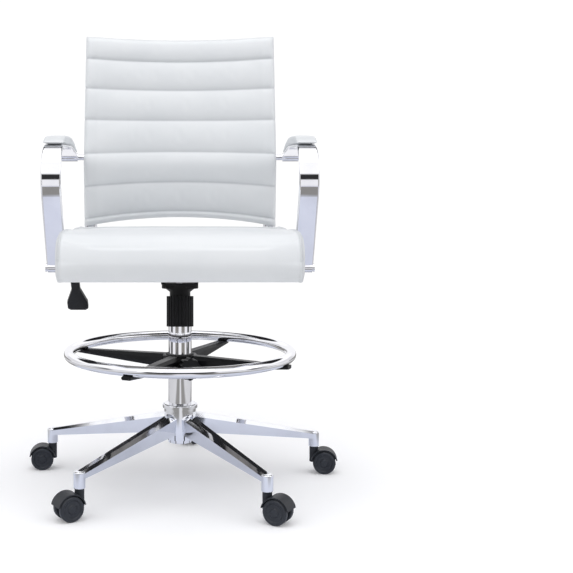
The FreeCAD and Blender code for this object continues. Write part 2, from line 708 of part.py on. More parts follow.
def ribbed_knob(radius, length, ribs, rib_r):
    """Knob body along +Z with rounded ribs all round."""
    body = cylinder(radius - rib_r * 0.6, length)
    rib_shapes = []
    for index in range(ribs):
        at = polar(radius - rib_r, index * 360.0 / ribs)
        rib_shapes.append(cylinder(rib_r, length, at))
    knob = body.multiFuse(rib_shapes).removeSplitter()
    return knob


def ring_knob():
    """Clamp knob with its screw."""
    lobes = ribbed_knob(RING_KNOB_R, RING_KNOB_LEN, 10, 5.0)
    crown = Part.makeCone(RING_KNOB_R + 1.0, RING_KNOB_R - 5.0, RING_KNOB_LEN)
    lobes = lobes.common(cylinder(RING_KNOB_R, RING_KNOB_LEN).common(
        Part.makeCone(RING_KNOB_R + 6.0, RING_KNOB_R - 1.5, RING_KNOB_LEN).fuse(crown)))
    knob = moved(lobes, V(0, 0, RING_KNOB_OUTER - RING_KNOB_LEN))
    screw_start = BUSH_R + CLAMP_PAD_T + 0.2
    screw = cylinder(KNOB_STEM_R, RING_KNOB_OUTER - RING_KNOB_LEN - screw_start + 2.0, V(0, 0, screw_start))
    return radial(knob.fuse(screw).removeSplitter(), RING_KNOB_Z)


write(ring_bush(), "ring_bush")
write(ring_spider(), "ring_spider")
write(foot_ring(), "foot_ring")
write(spoke_screws(), "spoke_screws")
write(ring_knob(), "ring_knob")
clamp_pad = cylinder(CLAMP_PAD_R, CLAMP_PAD_T, V(0, 0, BUSH_R + 0.1))
write(radial(clamp_pad.cut(cylinder(BUSH_R + 0.1, 4 * CLAMP_PAD_R, V(0, -2 * CLAMP_PAD_R, 0), Y_AXIS)),
             RING_KNOB_Z), "clamp_pad")


# ---- tilt mechanism ----------------------------------------------------------
def tension_place(shape):
    """Set a shape built on the local tension axis, knob centre at the origin."""
    leaned = turned(shape, -TENSION_TILT_DEG, ORIGIN, X_AXIS)
    return moved(leaned, V(0, TENSION_Y, TENSION_Z))


KNOB_HALF = TENSION_KNOB_LEN / 2
KNOB_RECESS_R = SPRING_CUP_R + 1.0
KNOB_RECESS_DEPTH = TENSION_TRAVEL + 5.0
CUP_BASE = KNOB_HALF - KNOB_RECESS_DEPTH + TENSION_TRAVEL + 1.5
CUP_TOP = (HOUSING_TOP_Z - TENSION_Z) / math.cos(math.radians(TENSION_TILT_DEG)) - 2.0
WASHER_T = 2.0
SPRING_SEAT = KNOB_HALF - KNOB_RECESS_DEPTH + WASHER_T
SPRING_CEILING = CUP_TOP - 6.0
CUP_BORE_R = SPRING_CUP_R - SPRING_CUP_WALL
BOLT_HEAD_R = 8.5
BOLT_HEAD_Z = CUP_TOP - 1.0


def rounded_plate(half_x, y0, y1, z, corner):
    """Rounded rectangle wire at one height."""
    plate = block(-half_x, half_x, y0, y1, z, z + 1.0)
    uprights = [edge for edge in plate.Edges if abs(edge.Vertexes[0].Z - edge.Vertexes[1].Z) > 0.5]
    plate = plate.makeFillet(corner, uprights)
    bottom = [face for face in plate.Faces if abs(face.CenterOfMass.z - z) < 0.01][0]
    return bottom.OuterWire


def mechanism_housing():
    """Housing: cone round the gas cylinder, tray, cheeks and the spring neck."""
    collar = cylinder(HOUSING_NECK_R, 8.0, V(0, 0, HOUSING_BOTTOM_Z))
    low = rounded_plate(HOUSING_NECK_R, -HOUSING_NECK_R, HOUSING_NECK_R, HOUSING_BOTTOM_Z + 8.0,
                        HOUSING_NECK_R - 0.5)
    high = rounded_plate(HOUSING_HALF_W, -HOUSING_HALF_L, HOUSING_HALF_L, HOUSING_SHOULDER_Z, 14.0)
    funnel = lofted([low, high])
    rear = HOUSING_HALF_L
    tray = block(-HOUSING_HALF_W, HOUSING_HALF_W, HOUSING_FRONT_Y, rear, HOUSING_SHOULDER_Z, HOUSING_TOP_Z)
    corners = [edge for edge in tray.Edges if abs(edge.Vertexes[0].Z - edge.Vertexes[1].Z) > 0.5]
    tray = tray.makeFillet(14.0, corners)
    cheeks = []
    for side in (-1, 1):
        inner = side * (HOUSING_HALF_W - CHEEK_T)
        outer = side * HOUSING_HALF_W
        cheeks.append(block(min(inner, outer), max(inner, outer), PIVOT_Y - CHEEK_HALF_L,
                            PIVOT_Y + CHEEK_HALF_L, HOUSING_TOP_Z - 4.0, PIVOT_Z + CHEEK_TOP))
    neck = cylinder(SPRING_CUP_R + 2.0, 10.0, V(0, 0, CUP_TOP - 12.0))
    neck = tension_place(neck)
    lever_boss = cylinder(LEVER_SLEEVE_R + 4.0, 12.0, V(-HOUSING_HALF_W, LEVER_Y, LEVER_Z), X_AXIS)
    body = fuse_all([collar, funnel, tray] + cheeks + [neck, lever_boss])
    socket = Part.makeCone(CYL_R, TAPER_TOP_R, TAPER_TOP_Z - HOUSING_BOTTOM_Z, V(0, 0, HOUSING_BOTTOM_Z))
    body = body.cut(socket)
    pocket = block(-27.0, 18.0, -12.0, 28.0, TAPER_TOP_Z - 1.5, PIVOT_Z + CHEEK_TOP)
    body = body.cut(pocket)
    pivot_hole = cylinder(PIVOT_R, 4 * HOUSING_HALF_W, V(-2 * HOUSING_HALF_W, PIVOT_Y, PIVOT_Z), X_AXIS)
    body = body.cut(pivot_hole)
    spring_room = cylinder(CUP_BORE_R, SPRING_CEILING, ORIGIN)
    body = body.cut(tension_place(spring_room))
    cup_seat = cylinder(SPRING_CUP_R, CUP_TOP - 8.0, ORIGIN)
    body = body.cut(tension_place(cup_seat))
    bolt_hole = cylinder(TENSION_BOLT_R, 2 * CUP_TOP)
    body = body.cut(tension_place(bolt_hole))
    head_room = cylinder(BOLT_HEAD_R + LOOSE, CUP_TOP, V(0, 0, BOLT_HEAD_Z))
    body = body.cut(tension_place(head_room))
    sleeve_hole = cylinder(LEVER_SLEEVE_R + RUN, 2 * HOUSING_HALF_W,
                           V(-2 * HOUSING_HALF_W, LEVER_Y, LEVER_Z), X_AXIS)
    return body.cut(sleeve_hole)


def spring_cup():
    """Sleeve round the tension spring, hanging from the housing."""
    sleeve = pipe(SPRING_CUP_R, CUP_BORE_R, CUP_TOP - 8.0 - CUP_BASE, V(0, 0, CUP_BASE))
    return tension_place(sleeve)


def tension_bolt():
    """Threaded tension bolt with its head above the housing floor."""
    bottom = -KNOB_HALF + 12.0
    head_z = BOLT_HEAD_Z
    shank = cylinder(TENSION_BOLT_R, head_z - bottom, V(0, 0, bottom))
    hexagon = [polar(BOLT_HEAD_R, 60.0 * index, head_z) for index in range(6)]
    head = polygon_prism(hexagon, 6.0, Z_AXIS)
    return tension_place(shank.fuse(head))


def tension_spring():
    """Stack of cone-shaped disc springs, rim to rim, between the washer and the housing."""
    height = SPRING_CEILING - SPRING_SEAT - 2 * RUN
    rise = (height - DISC_T) / DISC_COUNT
    slope = rise / (DISC_OUTER_R - DISC_INNER_R)
    fold = (2 * rise - DISC_T) / (2 * slope)
    outer = []
    for rim in range(0, DISC_COUNT + 1, 2):
        low = rim * rise
        if rim > 0:
            outer.append(V(DISC_OUTER_R - fold, 0, low - fold * slope))
        outer.append(V(DISC_OUTER_R, 0, low))
        outer.append(V(DISC_OUTER_R, 0, low + DISC_T))
    inner = []
    for rim in range(DISC_COUNT - 1, 0, -2):
        low = rim * rise
        inner.append(V(DISC_INNER_R, 0, low + DISC_T))
        inner.append(V(DISC_INNER_R, 0, low))
        if rim > 1:
            inner.append(V(DISC_INNER_R + fold, 0, low - fold * slope))
    outline = Part.makePolygon(outer + inner + [outer[0]])
    stack = Part.Face(outline).revolve(ORIGIN, Z_AXIS, 360)
    return tension_place(moved(stack, V(0, 0, SPRING_SEAT + RUN)))


def tension_knob():
    """Ribbed knob with a deep recess that rides over the spring cup."""
    knob = ribbed_knob(TENSION_KNOB_R, TENSION_KNOB_LEN, TENSION_KNOB_RIBS, 3.0)
    top_z = TENSION_KNOB_LEN
    recess = cylinder(KNOB_RECESS_R, KNOB_RECESS_DEPTH, V(0, 0, top_z - KNOB_RECESS_DEPTH))
    bore = cylinder(TENSION_BOLT_R + RUN, TENSION_KNOB_LEN - 6.0, V(0, 0, 6.0))
    knob = knob.cut(recess).cut(bore)
    return tension_place(moved(knob, V(0, 0, -KNOB_HALF)))


def tension_washer():
    """Thrust washer under the spring."""
    base = V(0, 0, KNOB_HALF - KNOB_RECESS_DEPTH + RUN)
    return tension_place(pipe(CUP_BORE_R - PART_GAP, TENSION_BOLT_R + RUN, WASHER_T - RUN, base))


def pivot_bolt():
    """Cross bolt through the housing cheeks and the seat plate ears."""
    reach = HOUSING_HALF_W + PART_GAP + EAR_T + PART_GAP
    head_t = 3.5
    shank = cylinder(PIVOT_R, 2 * reach, V(-reach, PIVOT_Y, PIVOT_Z), X_AXIS)
    heads = []
    for side in (-1, 1):
        start = V(side * reach, PIVOT_Y, PIVOT_Z)
        heads.append(cylinder(1.9 * PIVOT_R, head_t, start, X_AXIS * side))
    return shank.multiFuse(heads)


def lever_sleeve():
    """Turning sleeve in the housing wall, with the finger over the button."""
    inner_x = -HOUSING_HALF_W + 14.0
    outer_x = -HOUSING_HALF_W - 3.0
    flange_t = 2.0
    sleeve = cylinder(LEVER_SLEEVE_R, inner_x - outer_x, V(outer_x, LEVER_Y, LEVER_Z), X_AXIS)
    flange = cylinder(LEVER_SLEEVE_R + 2.5, flange_t, V(outer_x, LEVER_Y, LEVER_Z), X_AXIS)
    finger_z = BUTTON_TOP_Z + PART_GAP
    finger = block(inner_x - 2.0, BUTTON_R, -BUTTON_R / 2, BUTTON_R / 2, finger_z, finger_z + 4.0)
    bridge = block(inner_x - 2.0, inner_x + 6.0, -BUTTON_R / 2, LEVER_Y + 2.0, finger_z, finger_z + 4.0)
    hub = cylinder(LEVER_SLEEVE_R, 6.0, V(inner_x, LEVER_Y, LEVER_Z), X_AXIS)
    body = fuse_all([sleeve, flange, finger, bridge, hub])
    return body.cut(cylinder(LEVER_R + RUN, 4 * HOUSING_HALF_W,
                             V(-2 * HOUSING_HALF_W, LEVER_Y, LEVER_Z), X_AXIS))


def lever_rod():
    """Straight lever rod from the housing to the paddle."""
    inner_x = -HOUSING_HALF_W + 18.0
    return cylinder(LEVER_R, inner_x - LEVER_END_X, V(LEVER_END_X, LEVER_Y, LEVER_Z), X_AXIS)


def lever_paddle():
    """Flared paddle that hangs behind the rod end."""
    fall = V(0, PADDLE_BOTTOM_Y - LEVER_Y, PADDLE_BOTTOM_Z - LEVER_Z)
    length = fall.Length
    lean = math.degrees(math.atan2(fall.y, -fall.z))
    corner = 6.0
    half_t = PADDLE_T / 2
    top_half = PADDLE_TOP_W / 2
    low_half = PADDLE_BOTTOM_W / 2
    outline = [
        V(-top_half, -half_t, LEVER_R + PART_GAP),
        V(top_half, -half_t, LEVER_R + PART_GAP),
        V(top_half, -half_t, -length * 0.3),
        V(low_half, -half_t, -length * 0.75),
        V(low_half, -half_t, -length + corner),
        V(low_half - corner, -half_t, -length),
        V(-low_half + corner, -half_t, -length),
        V(-low_half, -half_t, -length + corner),
        V(-low_half, -half_t, -length * 0.75),
        V(-top_half, -half_t, -length * 0.3),
    ]
    paddle = polygon_prism(outline, PADDLE_T, Y_AXIS)
    paddle = paddle.makeFillet(2.0, paddle.Edges)
    paddle = turned(paddle, lean, ORIGIN, X_AXIS)
    paddle = moved(paddle, V(PADDLE_X, LEVER_Y, LEVER_Z))
    hole_x = LEVER_END_X
    return paddle.cut(cylinder(LEVER_R, 2 * PADDLE_BOTTOM_W, V(hole_x, LEVER_Y, LEVER_Z), X_AXIS))


write(mechanism_housing(), "mechanism_housing")
write(spring_cup(), "spring_cup")
write(tension_bolt(), "tension_bolt")
write(tension_spring(), "tension_spring")
write(tension_knob(), "tension_knob")
write(tension_washer(), "tension_washer")
write(pivot_bolt(), "pivot_bolt")
write(lever_sleeve(), "lever_sleeve")
write(lever_rod(), "lever_rod")
write(lever_paddle(), "lever_paddle")


def seat_plate():
    """Plate under the seat board, with two ears on the pivot bolt."""
    front = V(0, PLATE_FRONT_Y, board_z(PLATE_FRONT_Y))
    rear = V(0, PLATE_REAR_Y, board_z(PLATE_REAR_Y))
    outline = [front, rear, rear - Z_AXIS * PLATE_T, front - Z_AXIS * PLATE_T]
    plate = polygon_prism([point - X_AXIS * PLATE_HALF_W for point in outline], 2 * PLATE_HALF_W, X_AXIS)
    ears = []
    for side in (-1, 1):
        inner = side * (HOUSING_HALF_W + PART_GAP)
        outer = inner + side * EAR_T
        ear = block(min(inner, outer), max(inner, outer), PIVOT_Y - EAR_HALF_L, PIVOT_Y + EAR_HALF_L,
                    PIVOT_Z - EAR_BELOW, board_z(PIVOT_Y) - 2.0)
        ears.append(ear)
    body = fuse_all([plate] + ears)
    hole = cylinder(PIVOT_R + RUN, 4 * HOUSING_HALF_W, V(-2 * HOUSING_HALF_W, PIVOT_Y, PIVOT_Z), X_AXIS)
    body = body.cut(hole)
    for at in PLATE_BOLTS:
        body = body.cut(cylinder(PLATE_BOLT_R, 4 * BOARD_T, V(at.x, at.y, board_z(at.y) - 2 * BOARD_T)))
    return body


PLATE_BOLT_R = 3.0
PLATE_BOLTS = [V(side * 60.0, y, 0) for side in (-1, 1) for y in (PLATE_FRONT_Y + 15.0, PLATE_REAR_Y - 15.0)]


def seat_board():
    """Plywood board, lying on the rails with their slope."""
    front = V(-BOARD_HALF_W, BOARD_FRONT_Y, board_z(BOARD_FRONT_Y))
    rear = V(-BOARD_HALF_W, BOARD_REAR_Y, board_z(BOARD_REAR_Y))
    rise = Z_AXIS * BOARD_T
    board = polygon_prism([front, rear, rear + rise, front + rise], 2 * BOARD_HALF_W, X_AXIS)
    for at in PLATE_BOLTS:
        board = board.cut(cylinder(PLATE_BOLT_R, 4 * BOARD_T, V(at.x, at.y, board_z(at.y) - 2 * BOARD_T)))
    for at in RAIL_SCREWS:
        board = board.cut(cylinder(PLATE_BOLT_R, 4 * BOARD_T, V(at.x, at.y, board_z(at.y) - 2 * BOARD_T)))
    return board


def seat_plate_bolts():
    """Four bolts up through the seat plate into the board."""
    bolts = []
    for at in PLATE_BOLTS:
        under = board_z(at.y) - PLATE_T - 0.3
        head = cylinder(2 * PLATE_BOLT_R, PLATE_BOLT_R, V(at.x, at.y, under - PLATE_BOLT_R))
        shank = cylinder(PLATE_BOLT_R, PLATE_T + BOARD_T - 1.0, V(at.x, at.y, under))
        bolts.append(head.fuse(shank))
    return Part.makeCompound(bolts)


RAIL_SCREWS = [V(side * RAIL_X, y, 0) for side in (-1, 1) for y in (RAIL_FRONT_Y + 40.0, BOARD_REAR_Y - 30.0)]

# ---- side frames -------------------------------------------------------------
RAIL_POINTS = [
    V(0, RAIL_FRONT_Y, RAIL_FRONT_Z),
    V(0, HEEL_Y, rail_z(HEEL_Y)),
    V(0, KINK_Y, KINK_Z),
    V(0, TOP_Y, TOP_Z),
]
RAIL_BENDS = [HEEL_R, KINK_R]


def rail_body(width, thick, extra=0.0):
    """Flat-oval rail body on the chair's middle plane, longer at the front by extra."""
    forward = (RAIL_POINTS[0] - RAIL_POINTS[1]).normalize()
    points = [RAIL_POINTS[0] + forward * extra] + RAIL_POINTS[1:]
    return oval_bar(points, RAIL_BENDS, width, thick)


def side_frame():
    """One bent flat-oval tube, from the seat front to the back top."""
    outer = rail_body(RAIL_W, RAIL_T)
    inner = rail_body(RAIL_W - 2 * RAIL_WALL, RAIL_T - 2 * RAIL_WALL)
    tube = moved(outer.cut(inner), V(RAIL_X, 0, 0))
    for at in RAIL_SCREWS:
        if at.x > 0:
            tube = tube.cut(cylinder(PLATE_BOLT_R, 4 * BOARD_T, V(at.x, at.y, board_z(at.y) - 2 * BOARD_T)))
    for at in STUB_AXES:
        tube = tube.cut(cylinder(STUB_R, ARM_W + RAIL_W, at + X_AXIS * (RAIL_X - RAIL_W / 4), X_AXIS))
    return tube


def rail_screws():
    """Screws up through the rails into the board."""
    screws = []
    for at in RAIL_SCREWS:
        low = rail_z(at.y) - RAIL_RISE - 0.35
        head = cylinder(2 * PLATE_BOLT_R, PLATE_BOLT_R, V(at.x, at.y, low - PLATE_BOLT_R))
        shank = cylinder(PLATE_BOLT_R, RAIL_T + BOARD_T - 1.0, V(at.x, at.y, low))
        screws.append(head.fuse(shank))
    return Part.makeCompound(screws)


def rail_plugs():
    """Plugs in both ends of both tubes."""
    plugs = []
    plug_t = RAIL_PLUG_T
    inner = rail_body(RAIL_W - 2 * RAIL_WALL, RAIL_T - 2 * RAIL_WALL)
    front_way = (RAIL_POINTS[0] - RAIL_POINTS[1]).normalize()
    top_way = (RAIL_POINTS[3] - RAIL_POINTS[2]).normalize()
    for point, way in ((RAIL_POINTS[0], front_way), (RAIL_POINTS[3], top_way)):
        cap = Part.Face(stadium(point, way, RAIL_W, RAIL_T)).extrude(way * plug_t)
        spigot_wire = stadium(point, way, RAIL_W - 2 * RAIL_WALL, RAIL_T - 2 * RAIL_WALL)
        spigot = Part.Face(spigot_wire).extrude(way * (-4 * plug_t))
        plug = cap.fuse(spigot.common(inner))
        plugs.append(moved(plug, V(RAIL_X, 0, 0)))
        plugs.append(moved(plug, V(-RAIL_X, 0, 0)))
    return Part.makeCompound(plugs)


LOWER_STUB = V(0, ARM_FOOT_Y, rail_z(ARM_FOOT_Y))
LEAN_WAY = (RAIL_POINTS[3] - RAIL_POINTS[2]).normalize()
REAR_STUB = RAIL_POINTS[2] + LEAN_WAY * ((ARM_REAR_Z - KINK_Z) / LEAN_WAY.z)
STUB_AXES = [LOWER_STUB, REAR_STUB]

frame_right = side_frame()
write(frame_right, "side_frame_right")
write(mirrored(frame_right), "side_frame_left")
write(rail_plugs(), "rail_plugs")
write(rail_screws(), "rail_screws")
write(seat_plate(), "seat_plate")
write(seat_board(), "seat_board")
write(seat_plate_bolts(), "seat_plate_bolts")


# ---- seat cushion ------------------------------------------------------------
def seat_cushion():
    """Cushion body with a rolled nose, cut clear of the board and the rails."""
    rear_bottom = V(0, CUSHION_REAR_Y, board_z(CUSHION_REAR_Y) + PART_GAP)
    rear_top = V(0, CUSHION_REAR_Y, CUSHION_REAR_TOP_Z)
    crest = V(0, CUSHION_CREST_Y, CUSHION_CREST_Z)
    middle_y = (CUSHION_REAR_Y + CUSHION_CREST_Y) / 2
    middle = V(0, middle_y, (CUSHION_REAR_TOP_Z + CUSHION_CREST_Z) / 2 + 1.0)
    nose = V(0, NOSE_Y, NOSE_Z)
    nose_low = V(0, NOSE_BOTTOM_Y, NOSE_BOTTOM_Z)
    lip = V(0, NOSE_LIP_Y, NOSE_LIP_Z)
    front_board = V(0, BOARD_FRONT_Y - 6.0, board_z(BOARD_FRONT_Y - 6.0) + PART_GAP)
    top = Part.BSplineCurve()
    shoulder = V(0, NOSE_Y + 26.0, CUSHION_CREST_Z - 16.0)
    top.interpolate([rear_top, middle, crest, shoulder, nose, nose_low])
    wire = Part.Wire([
        top.toShape(),
        Part.LineSegment(nose_low, lip).toShape(),
        Part.LineSegment(lip, front_board).toShape(),
        Part.LineSegment(front_board, rear_bottom).toShape(),
        Part.LineSegment(rear_bottom, rear_top).toShape(),
    ])
    body = Part.Face(wire).extrude(X_AXIS * 2 * CUSHION_HALF_W)
    body = moved(body, V(-CUSHION_HALF_W, 0, 0))
    corners = []
    for edge in body.Edges:
        middle_of = edge.CenterOfMass
        on_side = abs(abs(middle_of.x) - CUSHION_HALF_W) < 0.1
        if on_side and middle_of.z > NOSE_LIP_Z + 20.0 and edge.Length > CUSHION_HALF_W:
            corners.append(edge)
    body = body.makeFillet(8.0, corners)
    board_front = V(-BOARD_HALF_W - PART_GAP, BOARD_FRONT_Y - PART_GAP, board_z(BOARD_FRONT_Y) - 2.0)
    board_rear = V(-BOARD_HALF_W - PART_GAP, BOARD_REAR_Y + PART_GAP, board_z(BOARD_REAR_Y) - 2.0)
    rise = Z_AXIS * (BOARD_T + 2.0 + PART_GAP)
    room = polygon_prism([board_front, board_rear, board_rear + rise, board_front + rise],
                         2 * (BOARD_HALF_W + PART_GAP), X_AXIS)
    body = body.cut(room)
    clear = rail_body(RAIL_W + 2 * PART_GAP, RAIL_T + 2 * PART_GAP, RAIL_PLUG_T + PART_GAP)
    body = body.cut(moved(clear, V(RAIL_X, 0, 0)))
    body = body.cut(moved(clear, V(-RAIL_X, 0, 0)))
    return body


write(seat_cushion(), "seat_cushion")


# ---- back pad ----------------------------------------------------------------
def strip_wire(origin, along, half_w, wing, sag, thick):
    """Curved strip outline: straight wings and a middle bowed to the rear."""
    back = V(0, along.z, -along.y)
    inner = half_w - wing
    rear_left = origin - X_AXIS * inner
    rear_right = origin + X_AXIS * inner
    rear_mid = origin + back * sag
    end_left = origin - X_AXIS * half_w
    end_right = origin + X_AXIS * half_w
    front = back * (-thick)
    edges = [
        Part.LineSegment(end_left, rear_left).toShape() if wing > 0 else None,
        Part.Arc(rear_left, rear_mid, rear_right).toShape(),
        Part.LineSegment(rear_right, end_right).toShape() if wing > 0 else None,
        Part.LineSegment(end_right, end_right + front).toShape(),
        Part.LineSegment(end_right + front, rear_right + front).toShape() if wing > 0 else None,
        Part.Arc(rear_right + front, rear_mid + front, rear_left + front).toShape(),
        Part.LineSegment(rear_left + front, end_left + front).toShape() if wing > 0 else None,
        Part.LineSegment(end_left + front, end_left).toShape(),
    ]
    return Part.Wire([edge for edge in edges if edge is not None])


def along_rail(offset, extra):
    """Rail line moved to its inner side, square to itself, and longer at the top."""
    points = [RAIL_POINTS[0]]
    ways = [(RAIL_POINTS[i + 1] - RAIL_POINTS[i]).normalize() for i in range(3)]
    inward = [V(0, -way.z, way.y) for way in ways]
    points = [RAIL_POINTS[0] + inward[0] * offset]
    for corner in (1, 2):
        spread = inward[corner - 1] + inward[corner]
        scale = offset / (1 + inward[corner - 1].dot(inward[corner]))
        points.append(RAIL_POINTS[corner] + spread * scale)
    points.append(RAIL_POINTS[3] + inward[2] * offset + ways[2] * extra)
    return points


def back_pad():
    """Back pad body, bowed between the rails and trimmed at top and bottom."""
    offset = RAIL_T / 2 + PART_GAP
    points = along_rail(offset, 2 * PAD_T)
    path = rounded_path(points, [HEEL_R - offset, KINK_R + offset])
    along = (points[1] - points[0]).normalize()
    profile = strip_wire(points[0], along, PAD_HALF_W, PAD_WING, PAD_SAG, PAD_T)
    body = swept(path, profile)
    reach = V(0, -TOP_Z, 0)
    top_left = V(-PAD_HALF_W - 1.0, 0, PAD_TOP_CORNER_Z) + reach
    top_mid = V(0, 0, PAD_TOP_MID_Z) + reach
    top_right = V(PAD_HALF_W + 1.0, 0, PAD_TOP_CORNER_Z) + reach
    low_right = V(PAD_HALF_W + 1.0, 0, PAD_BOTTOM_CORNER_Z) + reach
    low_mid = V(0, 0, PAD_BOTTOM_MID_Z) + reach
    low_left = V(-PAD_HALF_W - 1.0, 0, PAD_BOTTOM_CORNER_Z) + reach
    outline = Part.Wire([
        Part.Arc(top_left, top_mid, top_right).toShape(),
        Part.LineSegment(top_right, low_right).toShape(),
        Part.Arc(low_right, low_mid, low_left).toShape(),
        Part.LineSegment(low_left, top_left).toShape(),
    ])
    window = Part.Face(outline).extrude(V(0, 2 * TOP_Z, 0))
    return body.common(window)


def hem_tabs():
    """Short leather tabs on the rails under the pad's lower corners."""
    offset = RAIL_T / 2
    points = along_rail(offset, 0.0)
    path = rounded_path(points, [HEEL_R - offset, KINK_R + offset])
    way = (points[1] - points[0]).normalize()
    front = V(0, -way.z, way.y) * TAB_T
    left = points[0] - X_AXIS * TAB_W / 2
    right = points[0] + X_AXIS * TAB_W / 2
    profile = Part.makePolygon([left, right, right + front, left + front, left])
    strip = swept(path, profile)
    top_z = PAD_BOTTOM_CORNER_Z - 2 * PART_GAP
    window = block(-TAB_W, TAB_W, 0, TOP_Y, top_z - TAB_H, top_z)
    tab = strip.common(window)
    return Part.makeCompound([moved(tab, V(RAIL_X, 0, 0)), moved(tab, V(-RAIL_X, 0, 0))])


write(back_pad(), "back_pad")
write(hem_tabs(), "hem_tabs")


# ---- back bands --------------------------------------------------------------
def band(mid_z, end_h, mid_h, sag):
    """Bow-tie band between the rails, bowed to the rear, with its end pads."""
    span = RAIL_X - RAIL_W / 2 + 6.0
    at = RAIL_POINTS[2] + LEAN_WAY * ((mid_z - KINK_Z) / LEAN_WAY.z)
    lean = math.degrees(math.atan2(LEAN_WAY.y, LEAN_WAY.z))
    left = V(-span, 0, -end_h)
    mid = V(0, sag, -end_h)
    right = V(span, 0, -end_h)
    thick = V(0, -BAND_T, 0)
    plan = Part.Wire([
        Part.Arc(left, mid, right).toShape(),
        Part.LineSegment(right, right + thick).toShape(),
        Part.Arc(right + thick, mid + thick, left + thick).toShape(),
        Part.LineSegment(left + thick, left).toShape(),
    ])
    strip = Part.Face(plan).extrude(V(0, 0, 2 * end_h))
    far = V(0, -span, 0)
    top_left = V(-span - 1.0, 0, end_h / 2) + far
    top_mid = V(0, 0, mid_h / 2) + far
    top_right = V(span + 1.0, 0, end_h / 2) + far
    low_right = V(span + 1.0, 0, -end_h / 2) + far
    low_mid = V(0, 0, -mid_h / 2) + far
    low_left = V(-span - 1.0, 0, -end_h / 2) + far
    outline = Part.Wire([
        Part.Arc(top_left, top_mid, top_right).toShape(),
        Part.LineSegment(top_right, low_right).toShape(),
        Part.Arc(low_right, low_mid, low_left).toShape(),
        Part.LineSegment(low_left, top_left).toShape(),
    ])
    body = strip.common(Part.Face(outline).extrude(V(0, 3 * span, 0)))
    body = turned(moved(body, V(0, BAND_SET, 0)), -lean, ORIGIN, X_AXIS)
    body = moved(body, at)
    for side in (-1, 1):
        clear = moved(rail_body(RAIL_W, RAIL_T), V(side * RAIL_X, 0, 0))
        body = body.cut(clear)
    return body


write(band(UPPER_BAND_MID_Z, UPPER_BAND_END_H, UPPER_BAND_MID_H, UPPER_BAND_SAG), "upper_band")
write(band(MIDDLE_BAND_MID_Z, MIDDLE_BAND_END_H, MIDDLE_BAND_MID_H, MIDDLE_BAND_SAG), "middle_band")


# ---- arms --------------------------------------------------------------------
ARM_POINTS = [
    LOWER_STUB,
    V(0, ARM_FOOT_Y - (ARM_TOP_Z - LOWER_STUB.z) * ARM_LEAN, ARM_TOP_Z),
    V(0, ARM_KNEE_Y, ARM_TOP_Z),
    REAR_STUB,
]
ARM_BENDS = [ARM_BEND_R, ARM_KNEE_R]


def arm_bar():
    """Flat chrome bar of one arm, with an eye round each stub."""
    bar = oval_bar(ARM_POINTS, ARM_BENDS, ARM_W, ARM_T)
    bar = moved(bar, V(ARM_X, 0, 0))
    inner_x = ARM_X - ARM_W / 2
    eyes = []
    for at in STUB_AXES:
        start = at + X_AXIS * (inner_x + STUB_EYE_INSET)
        eyes.append(cylinder(STUB_EYE_R, ARM_W - 2 * STUB_EYE_INSET, start, X_AXIS))
    bar = bar.multiFuse(eyes)
    for at in STUB_AXES:
        bar = bar.cut(cylinder(STUB_R, 2 * ARM_W, at + X_AXIS * (inner_x - 1.0), X_AXIS))
    return bar


def arm_stubs():
    """Two stub shafts from the side frame through the bar, with end caps."""
    start_x = RAIL_X - RAIL_W / 4
    outer_x = ARM_X + ARM_W / 2
    stubs = []
    for at in STUB_AXES:
        shaft = cylinder(STUB_R, outer_x - start_x, at + X_AXIS * start_x, X_AXIS)
        cap = cylinder(STUB_CAP_R, STUB_CAP_T, at + X_AXIS * outer_x, X_AXIS)
        stubs.append(shaft.fuse(cap))
    return Part.makeCompound(stubs)


def arm_pad():
    """Pad on the bar top, tapered at both ends."""
    bar_top = ARM_T / 2 + PART_GAP
    front_z = ARM_TOP_Z + bar_top
    rear_share = (ARM_PAD_REAR_Y - ARM_KNEE_Y) / (REAR_STUB.y - ARM_KNEE_Y)
    rear_z = ARM_TOP_Z + (REAR_STUB.z - ARM_TOP_Z) * rear_share + bar_top
    front = V(0, ARM_PAD_FRONT_Y, front_z - 1.2)
    rear = V(0, ARM_PAD_REAR_Y, rear_z)
    knee = V(0, ARM_KNEE_Y + 12.0, front_z + 0.6)
    flat = V(0, ARM_PAD_FRONT_Y + 24.0, front_z)
    under = Part.Wire([
        Part.LineSegment(front, flat).toShape(),
        Part.LineSegment(flat, knee).toShape(),
        Part.LineSegment(knee, rear).toShape(),
    ])
    top = Part.BSplineCurve()
    top.interpolate([
        front + Z_AXIS * 5.0,
        flat + Z_AXIS * (ARM_PAD_T - 5.0),
        V(0, ARM_PAD_FRONT_Y + 70.0, front_z + ARM_PAD_T - 0.5),
        V(0, ARM_KNEE_Y, front_z + ARM_PAD_T - 1.5),
        V(0, ARM_PAD_REAR_Y - 30.0, rear_z + ARM_PAD_T - 3.0),
        rear + Z_AXIS * 5.0,
    ])
    outline = Part.Wire(under.Edges + [
        Part.LineSegment(rear, rear + Z_AXIS * 5.0).toShape(),
        top.toShape(),
        Part.LineSegment(front + Z_AXIS * 5.0, front).toShape(),
    ])
    body = Part.Face(Part.Wire(Part.__sortEdges__(outline.Edges))).extrude(X_AXIS * ARM_PAD_W)
    body = moved(body, V(ARM_X - ARM_PAD_W / 2, 0, 0))
    bar = moved(oval_bar(ARM_POINTS, ARM_BENDS, ARM_W + 2.0, ARM_T + 2 * PART_GAP), V(ARM_X, 0, 0))
    pad = body.cut(bar)
    solids = sorted(pad.Solids, key=lambda solid: solid.Volume)
    return solids[-1]


